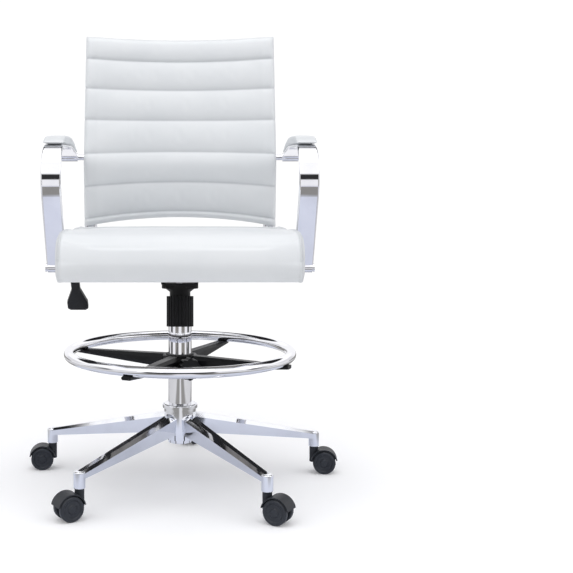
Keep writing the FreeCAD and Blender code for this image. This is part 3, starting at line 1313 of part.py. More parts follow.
bar_right = arm_bar()
write(bar_right, "arm_bar_right")
write(mirrored(bar_right), "arm_bar_left")
stubs_right = arm_stubs()
write(Part.makeCompound([stubs_right, mirrored(stubs_right)]), "arm_stubs")
pad_right = arm_pad()
write(pad_right, "arm_pad_right")
write(mirrored(pad_right), "arm_pad_left")
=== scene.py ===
"""Drafting chair with a foot ring: upholstery, finishes, studio and camera, in metres."""
import logging
import math
from collections.abc import Callable, Iterable, Sequence
from dataclasses import dataclass
from enum import Enum

import bmesh
import bpy
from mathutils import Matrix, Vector, noise
from mathutils.bvhtree import BVHTree


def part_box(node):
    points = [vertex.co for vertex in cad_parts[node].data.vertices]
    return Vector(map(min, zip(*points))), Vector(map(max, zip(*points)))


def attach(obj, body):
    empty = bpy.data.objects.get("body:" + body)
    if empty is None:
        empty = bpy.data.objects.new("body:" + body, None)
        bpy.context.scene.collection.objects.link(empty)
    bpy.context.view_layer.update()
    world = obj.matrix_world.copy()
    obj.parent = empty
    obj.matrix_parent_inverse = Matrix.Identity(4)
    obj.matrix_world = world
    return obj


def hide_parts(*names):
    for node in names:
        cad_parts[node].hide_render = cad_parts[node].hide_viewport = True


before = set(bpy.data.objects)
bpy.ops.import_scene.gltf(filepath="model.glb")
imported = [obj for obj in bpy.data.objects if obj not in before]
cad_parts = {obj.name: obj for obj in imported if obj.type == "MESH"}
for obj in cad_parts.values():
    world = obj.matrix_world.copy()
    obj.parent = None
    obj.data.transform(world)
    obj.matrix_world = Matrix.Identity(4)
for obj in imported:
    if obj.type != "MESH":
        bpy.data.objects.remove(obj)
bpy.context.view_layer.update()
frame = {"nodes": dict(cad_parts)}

LOG = logging.getLogger("drafting_chair")
MM = 0.001
Colour = tuple[float, float, float]


class Slot(Enum):
    """The record's material slots."""

    CAST_CHROME = "cast_chrome"
    TUBE_CHROME = "tube_chrome"
    LEATHER = "white_leather"
    NYLON = "black_nylon"
    CASTER = "caster_plastic"
    TREAD = "tread_plastic"
    BLACK_STEEL = "black_steel"
    ZINC = "zinc_steel"
    GUIDE = "guide_plastic"
    SPRING = "spring_steel"
    PLYWOOD = "plywood"


class Side(Enum):
    """Which side of the chair, as the sign of X."""

    LEFT = -1
    RIGHT = 1


# ---- shader building ----------------------------------------------------------
class NodeSheet:
    """One node tree that is being filled in."""

    def __init__(self, tree: bpy.types.NodeTree) -> None:
        """Starts on a tree.

        Args:
            tree: the node tree to fill.
        """
        self.tree = tree
        self.column = 0

    def add(self, kind: str, **settings: object) -> bpy.types.Node:
        """Adds a node.

        Args:
            kind: the node's type name.
            settings: attributes to set on it.

        Returns:
            The new node.
        """
        node = self.tree.nodes.new(kind)
        node.location = (180 * self.column, 0)
        self.column += 1
        for name, value in settings.items():
            setattr(node, name, value)
        return node

    def join(self, source: bpy.types.NodeSocket, target: bpy.types.NodeSocket) -> None:
        """Links an output to an input."""
        self.tree.links.new(source, target)

    def math(self, operation: str, first: object, second: object = 0.0) -> bpy.types.NodeSocket:
        """Adds a Math node.

        Args:
            operation: its operation.
            first: a socket or a number.
            second: a socket or a number.

        Returns:
            The value output.
        """
        node = self.add("ShaderNodeMath", operation=operation)
        for index, value in enumerate((first, second)):
            if isinstance(value, bpy.types.NodeSocket):
                self.join(value, node.inputs[index])
            else:
                node.inputs[index].default_value = value
        return node.outputs[0]

    def ramp(self, value: bpy.types.NodeSocket, low: float, high: float,
             out_low: float = 0.0, out_high: float = 1.0) -> bpy.types.NodeSocket:
        """Maps a range smoothly onto another.

        Args:
            value: the value to map.
            low: where the source range starts.
            high: where the source range ends.
            out_low: result at low.
            out_high: result at high.

        Returns:
            The mapped value.
        """
        node = self.add("ShaderNodeMapRange", interpolation_type="SMOOTHSTEP")
        self.join(value, node.inputs["Value"])
        node.inputs["From Min"].default_value = low
        node.inputs["From Max"].default_value = high
        node.inputs["To Min"].default_value = out_low
        node.inputs["To Max"].default_value = out_high
        return node.outputs[0]

    def noise(self, vector: bpy.types.NodeSocket, scale: float, detail: float = 3.0,
              rough: float = 0.5) -> bpy.types.NodeSocket:
        """Adds a Noise Texture and returns its factor."""
        node = self.add("ShaderNodeTexNoise")
        self.join(vector, node.inputs["Vector"])
        node.inputs["Scale"].default_value = scale
        node.inputs["Detail"].default_value = detail
        node.inputs["Roughness"].default_value = rough
        return node.outputs[0]

    def mix(self, factor: bpy.types.NodeSocket, first: object, second: object) -> bpy.types.NodeSocket:
        """Mixes two colours.

        Args:
            factor: the mask.
            first: colour or socket where the mask is 0.
            second: colour or socket where the mask is 1.

        Returns:
            The mixed colour.
        """
        node = self.add("ShaderNodeMix", data_type="RGBA")
        self.join(factor, node.inputs[0])
        for index, value in ((6, first), (7, second)):
            if isinstance(value, bpy.types.NodeSocket):
                self.join(value, node.inputs[index])
            else:
                node.inputs[index].default_value = (*value, 1.0)
        return node.outputs[2]

    def bump(self, height: bpy.types.NodeSocket, strength: float, distance: float) -> bpy.types.NodeSocket:
        """Adds a Bump node and returns its normal."""
        node = self.add("ShaderNodeBump")
        node.inputs["Strength"].default_value = strength
        node.inputs["Distance"].default_value = distance
        self.join(height, node.inputs["Height"])
        return node.outputs[0]


class Effects:
    """Shader node groups that several finishes share, each built once."""

    def __init__(self) -> None:
        """Builds every group."""
        self.hide = self._hide()
        self.scuff = self._scuff()
        self.moulded = self._moulded()
        self.dust = self._dust()

    @staticmethod
    def _group(name: str, inputs: dict[str, float],
               outputs: Sequence[str]) -> tuple[NodeSheet, bpy.types.Node, bpy.types.Node]:
        """Starts a group with a Vector input.

        Args:
            name: its name.
            inputs: float inputs and their usual values.
            outputs: float outputs.

        Returns:
            The sheet, the group input and the group output.
        """
        tree = bpy.data.node_groups.new(name, "ShaderNodeTree")
        tree.interface.new_socket(name="Vector", in_out="INPUT", socket_type="NodeSocketVector")
        for label, value in inputs.items():
            socket = tree.interface.new_socket(name=label, in_out="INPUT", socket_type="NodeSocketFloat")
            socket.default_value = value
        for label in outputs:
            tree.interface.new_socket(name=label, in_out="OUTPUT", socket_type="NodeSocketFloat")
        sheet = NodeSheet(tree)
        return sheet, sheet.add("NodeGroupInput"), sheet.add("NodeGroupOutput")

    def _hide(self) -> bpy.types.NodeTree:
        """Pebbled leather grain with fine pores and faint creases."""
        sheet, source, sink = self._group("leather_grain", {"Scale": 620.0}, ("Height", "Tone"))
        pebbles = sheet.add("ShaderNodeTexVoronoi", feature="DISTANCE_TO_EDGE")
        sheet.join(source.outputs["Vector"], pebbles.inputs["Vector"])
        sheet.join(source.outputs["Scale"], pebbles.inputs["Scale"])
        dome = sheet.ramp(pebbles.outputs["Distance"], 0.0, 0.35)
        pores = sheet.noise(source.outputs["Vector"], 2400.0, 2.0)
        creases = sheet.noise(source.outputs["Vector"], 46.0, 5.0, 0.62)
        fine = sheet.math("MULTIPLY", pores, 0.25)
        broad = sheet.math("MULTIPLY", creases, 0.9)
        sheet.join(sheet.math("ADD", sheet.math("ADD", dome, fine), broad), sink.inputs["Height"])
        sheet.join(sheet.noise(source.outputs["Vector"], 9.0, 3.0), sink.inputs["Tone"])
        return sheet.tree

    def _scuff(self) -> bpy.types.NodeTree:
        """Hairline scratches and wiping haze on bright metal."""
        sheet, source, sink = self._group("hairline_scuff", {"Scale": 1.0}, ("Height", "Haze"))
        place = sheet.add("ShaderNodeMapping")
        place.inputs["Rotation"].default_value = (0.4, 0.7, 0.3)
        place.inputs["Scale"].default_value = (1.0, 14.0, 14.0)
        sheet.join(source.outputs["Vector"], place.inputs["Vector"])
        lines = sheet.add("ShaderNodeTexNoise")
        sheet.join(place.outputs["Vector"], lines.inputs["Vector"])
        sheet.join(sheet.math("MULTIPLY", source.outputs["Scale"], 60.0), lines.inputs["Scale"])
        lines.inputs["Detail"].default_value = 6.0
        sheet.join(sheet.ramp(lines.outputs[0], 0.60, 0.72), sink.inputs["Height"])
        haze = sheet.noise(source.outputs["Vector"], 14.0, 4.0, 0.6)
        sheet.join(sheet.ramp(haze, 0.42, 0.70), sink.inputs["Haze"])
        return sheet.tree

    def _moulded(self) -> bpy.types.NodeTree:
        """Fine sparked skin of a moulded plastic part."""
        sheet, source, sink = self._group("moulded_skin", {"Scale": 1500.0}, ("Height", "Tone"))
        cells = sheet.add("ShaderNodeTexVoronoi", feature="SMOOTH_F1")
        sheet.join(source.outputs["Vector"], cells.inputs["Vector"])
        sheet.join(source.outputs["Scale"], cells.inputs["Scale"])
        grit = sheet.noise(source.outputs["Vector"], 900.0, 3.0)
        sheet.join(sheet.math("ADD", cells.outputs["Distance"], grit), sink.inputs["Height"])
        sheet.join(sheet.noise(source.outputs["Vector"], 18.0, 3.0), sink.inputs["Tone"])
        return sheet.tree

    def _dust(self) -> bpy.types.NodeTree:
        """Dust that settles in patches on faces that look up."""
        sheet, source, sink = self._group("settled_dust", {"Amount": 1.0}, ("Mask",))
        normal = sheet.add("ShaderNodeNewGeometry")
        split = sheet.add("ShaderNodeSeparateXYZ")
        sheet.join(normal.outputs["Normal"], split.inputs[0])
        up = sheet.ramp(split.outputs["Z"], 0.35, 1.0)
        patches = sheet.ramp(sheet.noise(source.outputs["Vector"], 120.0, 6.0, 0.7), 0.4, 0.8)
        laid = sheet.math("MULTIPLY", up, patches)
        sheet.join(sheet.math("MULTIPLY", laid, source.outputs["Amount"]), sink.inputs["Mask"])
        return sheet.tree

    @staticmethod
    def place(sheet: NodeSheet, group: bpy.types.NodeTree, vector: bpy.types.NodeSocket,
              **values: float) -> bpy.types.Node:
        """Puts a group into a material.

        Args:
            sheet: the material's sheet.
            group: the shared group.
            vector: the pattern's coordinates.
            values: its inputs' values.

        Returns:
            The group node.
        """
        node = sheet.add("ShaderNodeGroup", node_tree=group)
        sheet.join(vector, node.inputs["Vector"])
        for label, value in values.items():
            node.inputs[label].default_value = value
        return node


@dataclass(frozen=True)
class Finish:
    """What every finish has: a name, two tones, and the shader's plain values."""

    name: str
    tone: Colour
    deep: Colour
    rough: float
    rough_spread: float = 0.06
    metallic: float = 0.0
    specular: float = 0.5
    coat: float = 0.0
    coat_rough: float = 0.1
    sheen: float = 0.0
    bump: float = 0.1
    bump_depth: float = 0.0002
    dust: float = 0.0

    def start(self) -> tuple[bpy.types.Material, NodeSheet, bpy.types.Node, bpy.types.NodeSocket]:
        """Makes the material with its Principled BSDF and object coordinates.

        Returns:
            The material, its sheet, the shader and the coordinates.
        """
        material = bpy.data.materials.new(self.name)
        material.use_nodes = True
        material.node_tree.nodes.clear()
        sheet = NodeSheet(material.node_tree)
        place = sheet.add("ShaderNodeTexCoord").outputs["Object"]
        shader = sheet.add("ShaderNodeBsdfPrincipled")
        shader.inputs["Metallic"].default_value = self.metallic
        shader.inputs["Specular IOR Level"].default_value = self.specular
        shader.inputs["Coat Weight"].default_value = self.coat
        shader.inputs["Coat Roughness"].default_value = self.coat_rough
        shader.inputs["Sheen Weight"].default_value = self.sheen
        output = sheet.add("ShaderNodeOutputMaterial")
        sheet.join(shader.outputs[0], output.inputs["Surface"])
        return material, sheet, shader, place

    def dusted(self, sheet: NodeSheet, effects: Effects, place: bpy.types.NodeSocket,
               colour: bpy.types.NodeSocket) -> bpy.types.NodeSocket:
        """Lays dust over a colour where the finish has any."""
        if self.dust <= 0.0:
            return colour
        laid = Effects.place(sheet, effects.dust, place, Amount=self.dust)
        return sheet.mix(laid.outputs["Mask"], colour, (0.34, 0.33, 0.31))


@dataclass(frozen=True)
class LeatherFinish(Finish):
    """Bonded leather with pebbled grain, with painted shade darkening its seams."""

    grain: float = 620.0

    def build(self, effects: Effects) -> bpy.types.Material:
        """Makes the leather.

        Args:
            effects: the shared groups.

        Returns:
            The material.
        """
        material, sheet, shader, place = self.start()
        grain = Effects.place(sheet, effects.hide, place, Scale=self.grain)
        seam = sheet.add("ShaderNodeAttribute", attribute_name="seam")
        tone = sheet.ramp(grain.outputs["Tone"], 0.3, 0.7)
        base = sheet.mix(tone, self.tone, self.deep)
        # painted shade: the seam attribute darkens the leather to blue-grey in the sunk seam valleys
        painted_seam_shade = sheet.mix(sheet.math("MULTIPLY", seam.outputs["Fac"], 0.55), base, (0.42, 0.44, 0.47))
        sheet.join(painted_seam_shade, shader.inputs["Base Color"])
        spread = sheet.ramp(grain.outputs["Height"], 0.4, 1.9, self.rough + self.rough_spread,
                            self.rough - self.rough_spread)
        sheet.join(spread, shader.inputs["Roughness"])
        sheet.join(sheet.bump(grain.outputs["Height"], self.bump, self.bump_depth), shader.inputs["Normal"])
        return material


@dataclass(frozen=True)
class MetalFinish(Finish):
    """Plated or bare metal with haze and hairline scratches."""

    scratch: float = 1.0

    def build(self, effects: Effects) -> bpy.types.Material:
        """Makes the metal.

        Args:
            effects: the shared groups.

        Returns:
            The material.
        """
        material, sheet, shader, place = self.start()
        scuff = Effects.place(sheet, effects.scuff, place, Scale=self.scratch)
        colour = sheet.mix(scuff.outputs["Haze"], self.tone, self.deep)
        sheet.join(self.dusted(sheet, effects, place, colour), shader.inputs["Base Color"])
        hazy = sheet.ramp(scuff.outputs["Haze"], 0.0, 1.0, self.rough, self.rough + self.rough_spread)
        sheet.join(hazy, shader.inputs["Roughness"])
        sheet.join(sheet.bump(scuff.outputs["Height"], self.bump, self.bump_depth), shader.inputs["Normal"])
        return material


@dataclass(frozen=True)
class MouldedFinish(Finish):
    """Moulded plastic or powder coat with a fine sparked skin."""

    cells: float = 1500.0

    def build(self, effects: Effects) -> bpy.types.Material:
        """Makes the moulded skin.

        Args:
            effects: the shared groups.

        Returns:
            The material.
        """
        material, sheet, shader, place = self.start()
        skin = Effects.place(sheet, effects.moulded, place, Scale=self.cells)
        tone = sheet.ramp(skin.outputs["Tone"], 0.35, 0.65)
        colour = sheet.mix(tone, self.tone, self.deep)
        sheet.join(self.dusted(sheet, effects, place, colour), shader.inputs["Base Color"])
        spread = sheet.ramp(skin.outputs["Tone"], 0.3, 0.7, self.rough - self.rough_spread,
                            self.rough + self.rough_spread)
        sheet.join(spread, shader.inputs["Roughness"])
        sheet.join(sheet.bump(skin.outputs["Height"], self.bump, self.bump_depth), shader.inputs["Normal"])
        return material


@dataclass(frozen=True)
class WoodFinish(Finish):
    """Grey-washed plywood with long grain across the chair."""

    rings: float = 60.0

    def build(self, effects: Effects) -> bpy.types.Material:
        """Makes the veneer.

        Args:
            effects: the shared groups.

        Returns:
            The material.
        """
        material, sheet, shader, place = self.start()
        stretch = sheet.add("ShaderNodeMapping")
        stretch.inputs["Scale"].default_value = (0.12, 1.0, 6.0)
        sheet.join(place, stretch.inputs["Vector"])
        rings = sheet.noise(stretch.outputs["Vector"], self.rings, 6.0, 0.65)
        fibre = sheet.noise(stretch.outputs["Vector"], 900.0, 3.0, 0.6)
        figure = sheet.ramp(rings, 0.35, 0.65)
        sheet.join(sheet.mix(figure, self.tone, self.deep), shader.inputs["Base Color"])
        sheet.join(sheet.ramp(rings, 0.3, 0.7, self.rough, self.rough + self.rough_spread),
                   shader.inputs["Roughness"])
        sheet.join(sheet.bump(sheet.math("ADD", rings, fibre), self.bump, self.bump_depth),
                   shader.inputs["Normal"])
        return material


LEATHER = LeatherFinish("white_leather_finish", (0.735, 0.755, 0.77), (0.705, 0.728, 0.745), 0.40, 0.06,
                        coat=0.12, coat_rough=0.28, bump=0.16, bump_depth=0.0004)
THREAD = LeatherFinish("white_thread", (0.72, 0.73, 0.74), (0.62, 0.63, 0.64), 0.6, 0.05, sheen=0.2,
                       bump=0.3, bump_depth=0.0003, grain=2600.0)
FINISHES: dict[Slot, Finish] = {
    Slot.CAST_CHROME: MetalFinish("polished_cast", (0.88, 0.89, 0.92), (0.83, 0.84, 0.87), 0.045, 0.07,
                                  metallic=1.0, bump=0.03, bump_depth=0.00005, scratch=0.6),
    Slot.TUBE_CHROME: MetalFinish("bright_tube", (0.90, 0.90, 0.92), (0.86, 0.86, 0.89), 0.03, 0.05,
                                  metallic=1.0, bump=0.02, bump_depth=0.00004, scratch=1.0),
    Slot.LEATHER: LEATHER,
    Slot.NYLON: MouldedFinish("black_nylon_skin", (0.0050, 0.0052, 0.0062), (0.0085, 0.0088, 0.0100),
                              0.36, 0.06, specular=0.22, bump=0.12, bump_depth=0.0002, dust=0.012,
                              cells=1400.0),
    Slot.CASTER: MouldedFinish("caster_hood_skin", (0.016, 0.018, 0.023), (0.024, 0.027, 0.033), 0.42, 0.06,
                               specular=0.30, bump=0.12, bump_depth=0.0002, dust=0.02, cells=1300.0),
    Slot.TREAD: MouldedFinish("caster_wheel_skin", (0.022, 0.025, 0.032), (0.030, 0.034, 0.042), 0.36, 0.08,
                              specular=0.30, bump=0.10, bump_depth=0.0002, dust=0.02, cells=1200.0),
    Slot.BLACK_STEEL: MouldedFinish("powder_coat", (0.0055, 0.0055, 0.0060), (0.010, 0.010, 0.0105),
                                    0.44, 0.05, specular=0.25, bump=0.22, bump_depth=0.0003, dust=0.02,
                                    cells=850.0),
    Slot.ZINC: MetalFinish("zinc_plate", (0.60, 0.60, 0.61), (0.47, 0.48, 0.50), 0.24, 0.14,
                           metallic=1.0, bump=0.10, bump_depth=0.0001, scratch=2.0),
    Slot.GUIDE: MouldedFinish("guide_nylon", (0.020, 0.020, 0.022), (0.034, 0.034, 0.036), 0.55, 0.06,
                              bump=0.15, bump_depth=0.0002, cells=1600.0),
    Slot.SPRING: MetalFinish("spring_wire", (0.36, 0.36, 0.38), (0.22, 0.22, 0.24), 0.30, 0.14,
                             metallic=1.0, bump=0.12, bump_depth=0.0001, scratch=2.5),
    Slot.PLYWOOD: WoodFinish("grey_washed_ply", (0.30, 0.29, 0.275), (0.22, 0.21, 0.20), 0.60, 0.12,
                             specular=0.2, bump=0.25, bump_depth=0.0003),
}


class Palette:
    """Every material of the chair, built once."""

    def __init__(self) -> None:
        """Builds the groups and the materials."""
        self.effects = Effects()
        self.by_slot = {slot: finish.build(self.effects) for slot, finish in FINISHES.items()}
        self.thread = THREAD.build(self.effects)

    def dress_nodes(self, nodes: dict[str, bpy.types.Object]) -> None:
        """Gives each CAD node the finish of its own slot.

        Args:
            nodes: the CAD nodes by name.
        """
        for name, node in nodes.items():
            slot = Slot(node.data.materials[0].name.split(".")[0])
            node.data.materials[0] = self.by_slot[slot]
            LOG.info("dressed %s with %s", name, slot.value)


# ---- mesh helpers -------------------------------------------------------------
def as_object(name: str, mesh_work: bmesh.types.BMesh, material: bpy.types.Material) -> bpy.types.Object:
    """Closes a bmesh into a smooth-shaded object at the origin.

    Args:
        name: the piece's name.
        mesh_work: the bmesh, which is freed.
        material: its finish.

    Returns:
        The object, linked to the scene.
    """
    bmesh.ops.recalc_face_normals(mesh_work, faces=mesh_work.faces)
    mesh = bpy.data.meshes.new(name)
    mesh_work.to_mesh(mesh)
    mesh_work.free()
    mesh.shade_smooth()
    mesh.materials.append(material)
    piece = bpy.data.objects.new(name, mesh)
    bpy.context.scene.collection.objects.link(piece)
    return piece


def settle(piece: bpy.types.Object) -> None:
    """Applies every modifier of a piece to its mesh.

    Args:
        piece: the object.
    """
    graph = bpy.context.evaluated_depsgraph_get()
    mesh = bpy.data.meshes.new_from_object(piece.evaluated_get(graph))
    old = piece.data
    piece.modifiers.clear()
    piece.data = mesh
    mesh.name = old.name
    bpy.data.meshes.remove(old)
    mesh.shade_smooth()


def subdivide(piece: bpy.types.Object, levels: int = 1) -> None:
    """Adds and applies a Subdivision Surface."""
    smooth = piece.modifiers.new("subdivision", "SUBSURF")
    smooth.levels = levels
    smooth.render_levels = levels
    settle(piece)


def welded_copy(node: bpy.types.Object) -> bmesh.types.BMesh:
    """A copy of a CAD node's loose triangles with its doubles merged.

    Args:
        node: the CAD node.

    Returns:
        The merged bmesh.
    """
    work = bmesh.new()
    work.from_mesh(node.data)
    bmesh.ops.remove_doubles(work, verts=work.verts, dist=1e-6)
    return work


def soft_curve(points: Sequence[Vector], per_span: int = 24) -> list[Vector]:
    """A smooth line through points, as a Catmull-Rom curve.

    Args:
        points: at least two points.
        per_span: samples in each span.

    Returns:
        The sampled line.
    """
    ends = [points[0] * 2 - points[1], *points, points[-1] * 2 - points[-2]]
    line: list[Vector] = []
    for index in range(1, len(ends) - 2):
        before, start, end, after = ends[index - 1:index + 3]
        for step in range(per_span):
            t = step / per_span
            line.append(0.5 * ((2 * start) + (end - before) * t
                               + (2 * before - 5 * start + 4 * end - after) * t * t
                               + (3 * start - before - 3 * end + after) * t ** 3))
    line.append(points[-1].copy())
    return line


def at_share(line: Sequence[Vector], share: float) -> Vector:
    """The point at a share of a line's length.

    Args:
        line: the sampled line.
        share: 0 at its start to 1 at its end.

    Returns:
        The point.
    """
    lengths = [0.0]
    for first, second in zip(line, line[1:]):
        lengths.append(lengths[-1] + (second - first).length)
    wanted = min(max(share, 0.0), 1.0) * lengths[-1]
    for index in range(1, len(line)):
        if lengths[index] >= wanted:
            span = lengths[index] - lengths[index - 1]
            part = (wanted - lengths[index - 1]) / span if span > 1e-12 else 0.0
            return line[index - 1].lerp(line[index], part)
    return line[-1].copy()


def valley(distance: float, width: float) -> float:
    """Depth share of a seam at a distance from its line, 1 on the line."""
    return math.exp(-(distance / width) ** 2)


@dataclass(frozen=True)
class Swelling:
    """How the cloth simulation fills a padded piece."""

    pressure: float = 4.0
    frames: int = 20
    cap: float = 4.0 * MM
    stiffness: float = 18.0
    bending: float = 1.5
    steps: int = 4
    still: float = 0.01 * MM

    def run(self, piece: bpy.types.Object, held: Callable[[Vector], float]) -> None:
        """Blows the piece up a little and keeps the result in its mesh.

        Args:
            piece: the padded piece.
            held: how firmly a point is pinned, 0 to 1.
        """
        before = [vertex.co.copy() for vertex in piece.data.vertices]
        group = piece.vertex_groups.new(name="held")
        for vertex in piece.data.vertices:
            weight = held(vertex.co)
            if weight > 0.0:
                group.add([vertex.index], min(weight, 1.0), "REPLACE")
        cloth = piece.modifiers.new("swelling", "CLOTH")
        cloth.settings.use_pressure = True
        cloth.settings.uniform_pressure_force = self.pressure
        cloth.settings.effector_weights.gravity = 0.0
        cloth.settings.vertex_group_mass = "held"
        cloth.settings.tension_stiffness = self.stiffness
        cloth.settings.compression_stiffness = self.stiffness
        cloth.settings.bending_stiffness = self.bending
        cloth.settings.quality = self.steps
        cloth.point_cache.frame_start = 1
        cloth.point_cache.frame_end = self.frames
        scene = bpy.context.scene
        for frame_number in range(1, self.frames + 1):
            scene.frame_set(frame_number)
        settle(piece)
        scene.frame_set(1)
        for vertex, start in zip(piece.data.vertices, before):
            move = vertex.co - start
            if move.length > self.still:
                vertex.co = start + move.normalized() * (self.cap * math.tanh(move.length / self.cap))
        piece.vertex_groups.clear()


def mark_seams(piece: bpy.types.Object, depth: Callable[[Vector], float], normal_depth: float) -> None:
    """Sinks seams into a piece along its normals and stores them as the seam attribute, which the leather
    reads as painted seam shade.

    Args:
        piece: the padded piece.
        depth: the seam's share at a point, 0 to 1.
        normal_depth: how deep a full seam sinks.
    """
    mesh = piece.data
    values = mesh.attributes.new("seam", "FLOAT", "POINT")
    for vertex, normal in zip(mesh.vertices, [Vector(item.vector) for item in mesh.vertex_normals]):
        share = depth(vertex.co)
        values.data[vertex.index].value = share
        vertex.co -= normal * (share * normal_depth)
    mesh.update()


@dataclass(frozen=True)
class StitchRun:
    """A row of thread stitches on a surface."""

    pitch: float = 5.0 * MM
    length: float = 3.6 * MM
    radius: float = 0.45 * MM
    sink: float = 0.1 * MM

    def sew(self, work: bmesh.types.BMesh, line: Sequence[Vector], surface: BVHTree) -> int:
        """Adds one row to a bmesh.

        Args:
            work: the bmesh of all the thread.
            line: points near the surface, in order.
            surface: the surface that the stitches lie on.

        Returns:
            How many stitches were made.
        """
        total = sum((second - first).length for first, second in zip(line, line[1:]))
        count = int(total / self.pitch)
        row = bmesh.new()
        for index in range(count):
            ahead = at_share(line, (index + 0.7) / count)
            here = at_share(line, (index + 0.5) / count)
            spot, normal, _face, _distance = surface.find_nearest(here)
            if spot is None:
                continue
            tip, _normal, _face, _distance = surface.find_nearest(ahead)
            along = tip - spot
            along = (along - normal * along.dot(normal)).normalized()
            across = normal.cross(along)
            made = bmesh.ops.create_uvsphere(row, u_segments=6, v_segments=4, radius=1.0)
            for vertex in made["verts"]:
                size = vertex.co.copy()
                vertex.co = (spot + normal * (self.radius * size.x - self.sink)
                             + across * (self.radius * size.y) + along * (self.length / 2 * size.z))
        carrier = bpy.data.meshes.new("stitch_row")
        row.to_mesh(carrier)
        row.free()
        work.from_mesh(carrier)
        bpy.data.meshes.remove(carrier)
        return count


def surface_of(piece: bpy.types.Object) -> BVHTree:
    """A search tree over a piece's finished mesh."""
    graph = bpy.context.evaluated_depsgraph_get()
    return BVHTree.FromObject(piece, graph)


# ---- seat ---------------------------------------------------------------------
@dataclass
class SeatCushion:
    """Boxed seat cushion with a rolled nose, sewn from a top panel and two side panels.

    Outline points are in millimetres in the YZ plane, the rest is in metres.
    """

    palette: Palette
    top: Sequence[tuple[float, float]] = ((183.0, 546.0), (-3.5, 554.0), (-190.0, 560.5), (-249.0, 544.0))
    nose: Sequence[tuple[float, float]] = ((-249.0, 544.0), (-275.0, 500.0), (-266.0, 468.5),
                                           (-252.0, 463.0), (-221.0, 476.5))
    under: Sequence[tuple[float, float]] = ((-221.0, 476.5), (-208.5, 486.1), (182.0, 468.0))
    seam_x: float = 228.5 * MM
    side_bulge: float = 9.6 * MM
    nose_flare: float = 5.0 * MM
    nose_from: float = 0.185
    nose_run: float = 0.045
    rear_edge: float = 0.176
    crown: float = 3.0 * MM
    crease: float = 2.6 * MM
    shoulder_drop: float = 9.0 * MM
    shoulder_from: float = 120.0 * MM
    cuts: int = 55
    board_rise: float = 12.4 * MM
    seam_width: float = 3.4 * MM
    cross_seams: Sequence[float] = (0.098, 0.012, -0.074)

    def outline(self) -> dict[str, list[Vector]]:
        """The four sides of the cushion's outline in the YZ plane.

        Returns:
            Sampled lines named top, nose, under and rear.
        """
        def lift(points: Iterable[tuple[float, float]]) -> list[Vector]:
            """Millimetre pairs as places in the YZ plane."""
            return [Vector((0.0, y * MM, z * MM)) for y, z in points]

        whole = soft_curve(lift([*self.top, *self.nose[1:]]))
        split = 24 * (len(self.top) - 1)
        under = lift(self.under)
        return {"top": whole[:split + 1], "nose": whole[split:], "under": under,
                "rear": [under[-1], whole[0]]}

    def spot(self, sides: dict[str, list[Vector]], b: float, c: float) -> Vector:
        """A point of the outline's inside, blended between its four sides.

        Args:
            sides: the outline.
            b: 0 at the rear to 1 at the nose.
            c: 0 at the underside to 1 on top.

        Returns:
            The point in the YZ plane.
        """
        top = at_share(sides["top"], b)
        low = at_share(sides["under"], 1.0 - b)
        front = at_share(sides["nose"], 1.0 - c)
        rear = at_share(sides["rear"], c)
        corner = ((1 - b) * (1 - c) * sides["rear"][0] + (1 - b) * c * sides["top"][0]
                  + b * (1 - c) * sides["under"][0] + b * c * sides["nose"][0])
        return top * c + low * (1 - c) + front * b + rear * (1 - b) - corner

    def build(self) -> bpy.types.Object:
        """Builds, fills and sews the cushion.

        Returns:
            The cushion.
        """
        sides = self.outline()
        work = bmesh.new()
        bmesh.ops.create_cube(work, size=2.0)
        bmesh.ops.subdivide_edges(work, edges=work.edges[:], cuts=self.cuts, use_grid_fill=True)
        centre = Vector((0.0, -0.045, 0.512))
        cache: dict[tuple[int, int], Vector] = {}
        for vertex in work.verts:
            a, b, c = vertex.co
            key = (round(b * 1000), round(c * 1000))
            if key not in cache:
                cache[key] = self.spot(sides, (b + 1) / 2, (c + 1) / 2)
            flat = cache[key]
            spread = a + 0.5 * math.sin(math.pi * a) / math.pi * (1 if abs(a) < 1 else 0)
            x = self.seam_at(flat.y) * spread
            if abs(a) > 0.9999:
                x += math.copysign(self.side_bulge, a) * (1 - b ** 14) * (1 - c ** 6)
            pull = max(0.0, (abs(x) - self.shoulder_from) / (self.seam_x - self.shoulder_from))
            above = min(max((flat.z - 0.472) / 0.03, 0.0), 1.0)
            inward = (centre - flat).normalized()
            inward.x = 0.0
            flat = flat + inward * (self.shoulder_drop * min(pull, 1.0) ** 3 * above)
            rise = (1 - a * a) * max(0.0, 1 - b * b) * self.crown * above
            vertex.co = Vector((x, flat.y, flat.z + rise))
            if c < -0.9999 and abs(x) < 0.2262 and -0.2035 < flat.y < 0.156:
                vertex.co.z += self.board_rise
        cushion = as_object("seat_upholstery", work, self.palette.by_slot[Slot.LEATHER])
        Swelling(pressure=2.0, cap=2.5 * MM).run(cushion, self.held)
        subdivide(cushion)
        mark_seams(cushion, self.seam_share, self.crease)
        LOG.info("seat cushion: %d faces", len(cushion.data.polygons))
        return cushion

    def held(self, at: Vector) -> float:
        """Where the cover is fixed: its seams, its underside and its rear edge."""
        if at.y > self.rear_edge:
            return 1.0
        rise = min(max((at.z - self.under_z(at.y) - 8.0 * MM) / (40.0 * MM), 0.0), 1.0)
        lower = 1.0 - rise * rise * (3 - 2 * rise)
        return max(lower, valley(abs(at.x) - self.seam_at(at.y), 4.0 * MM))

    def seam_at(self, y: float) -> float:
        """Half the width between the boxing seams at a depth."""
        forward = min(max((-y - self.nose_from) / self.nose_run, 0.0), 1.0)
        return self.seam_x + self.nose_flare * forward * forward * (3 - 2 * forward)

    @staticmethod
    def under_z(y: float) -> float:
        """Height of the seat board's underside at a depth."""
        return 0.4781 - (y + 0.203) * 0.047 + 0.0078

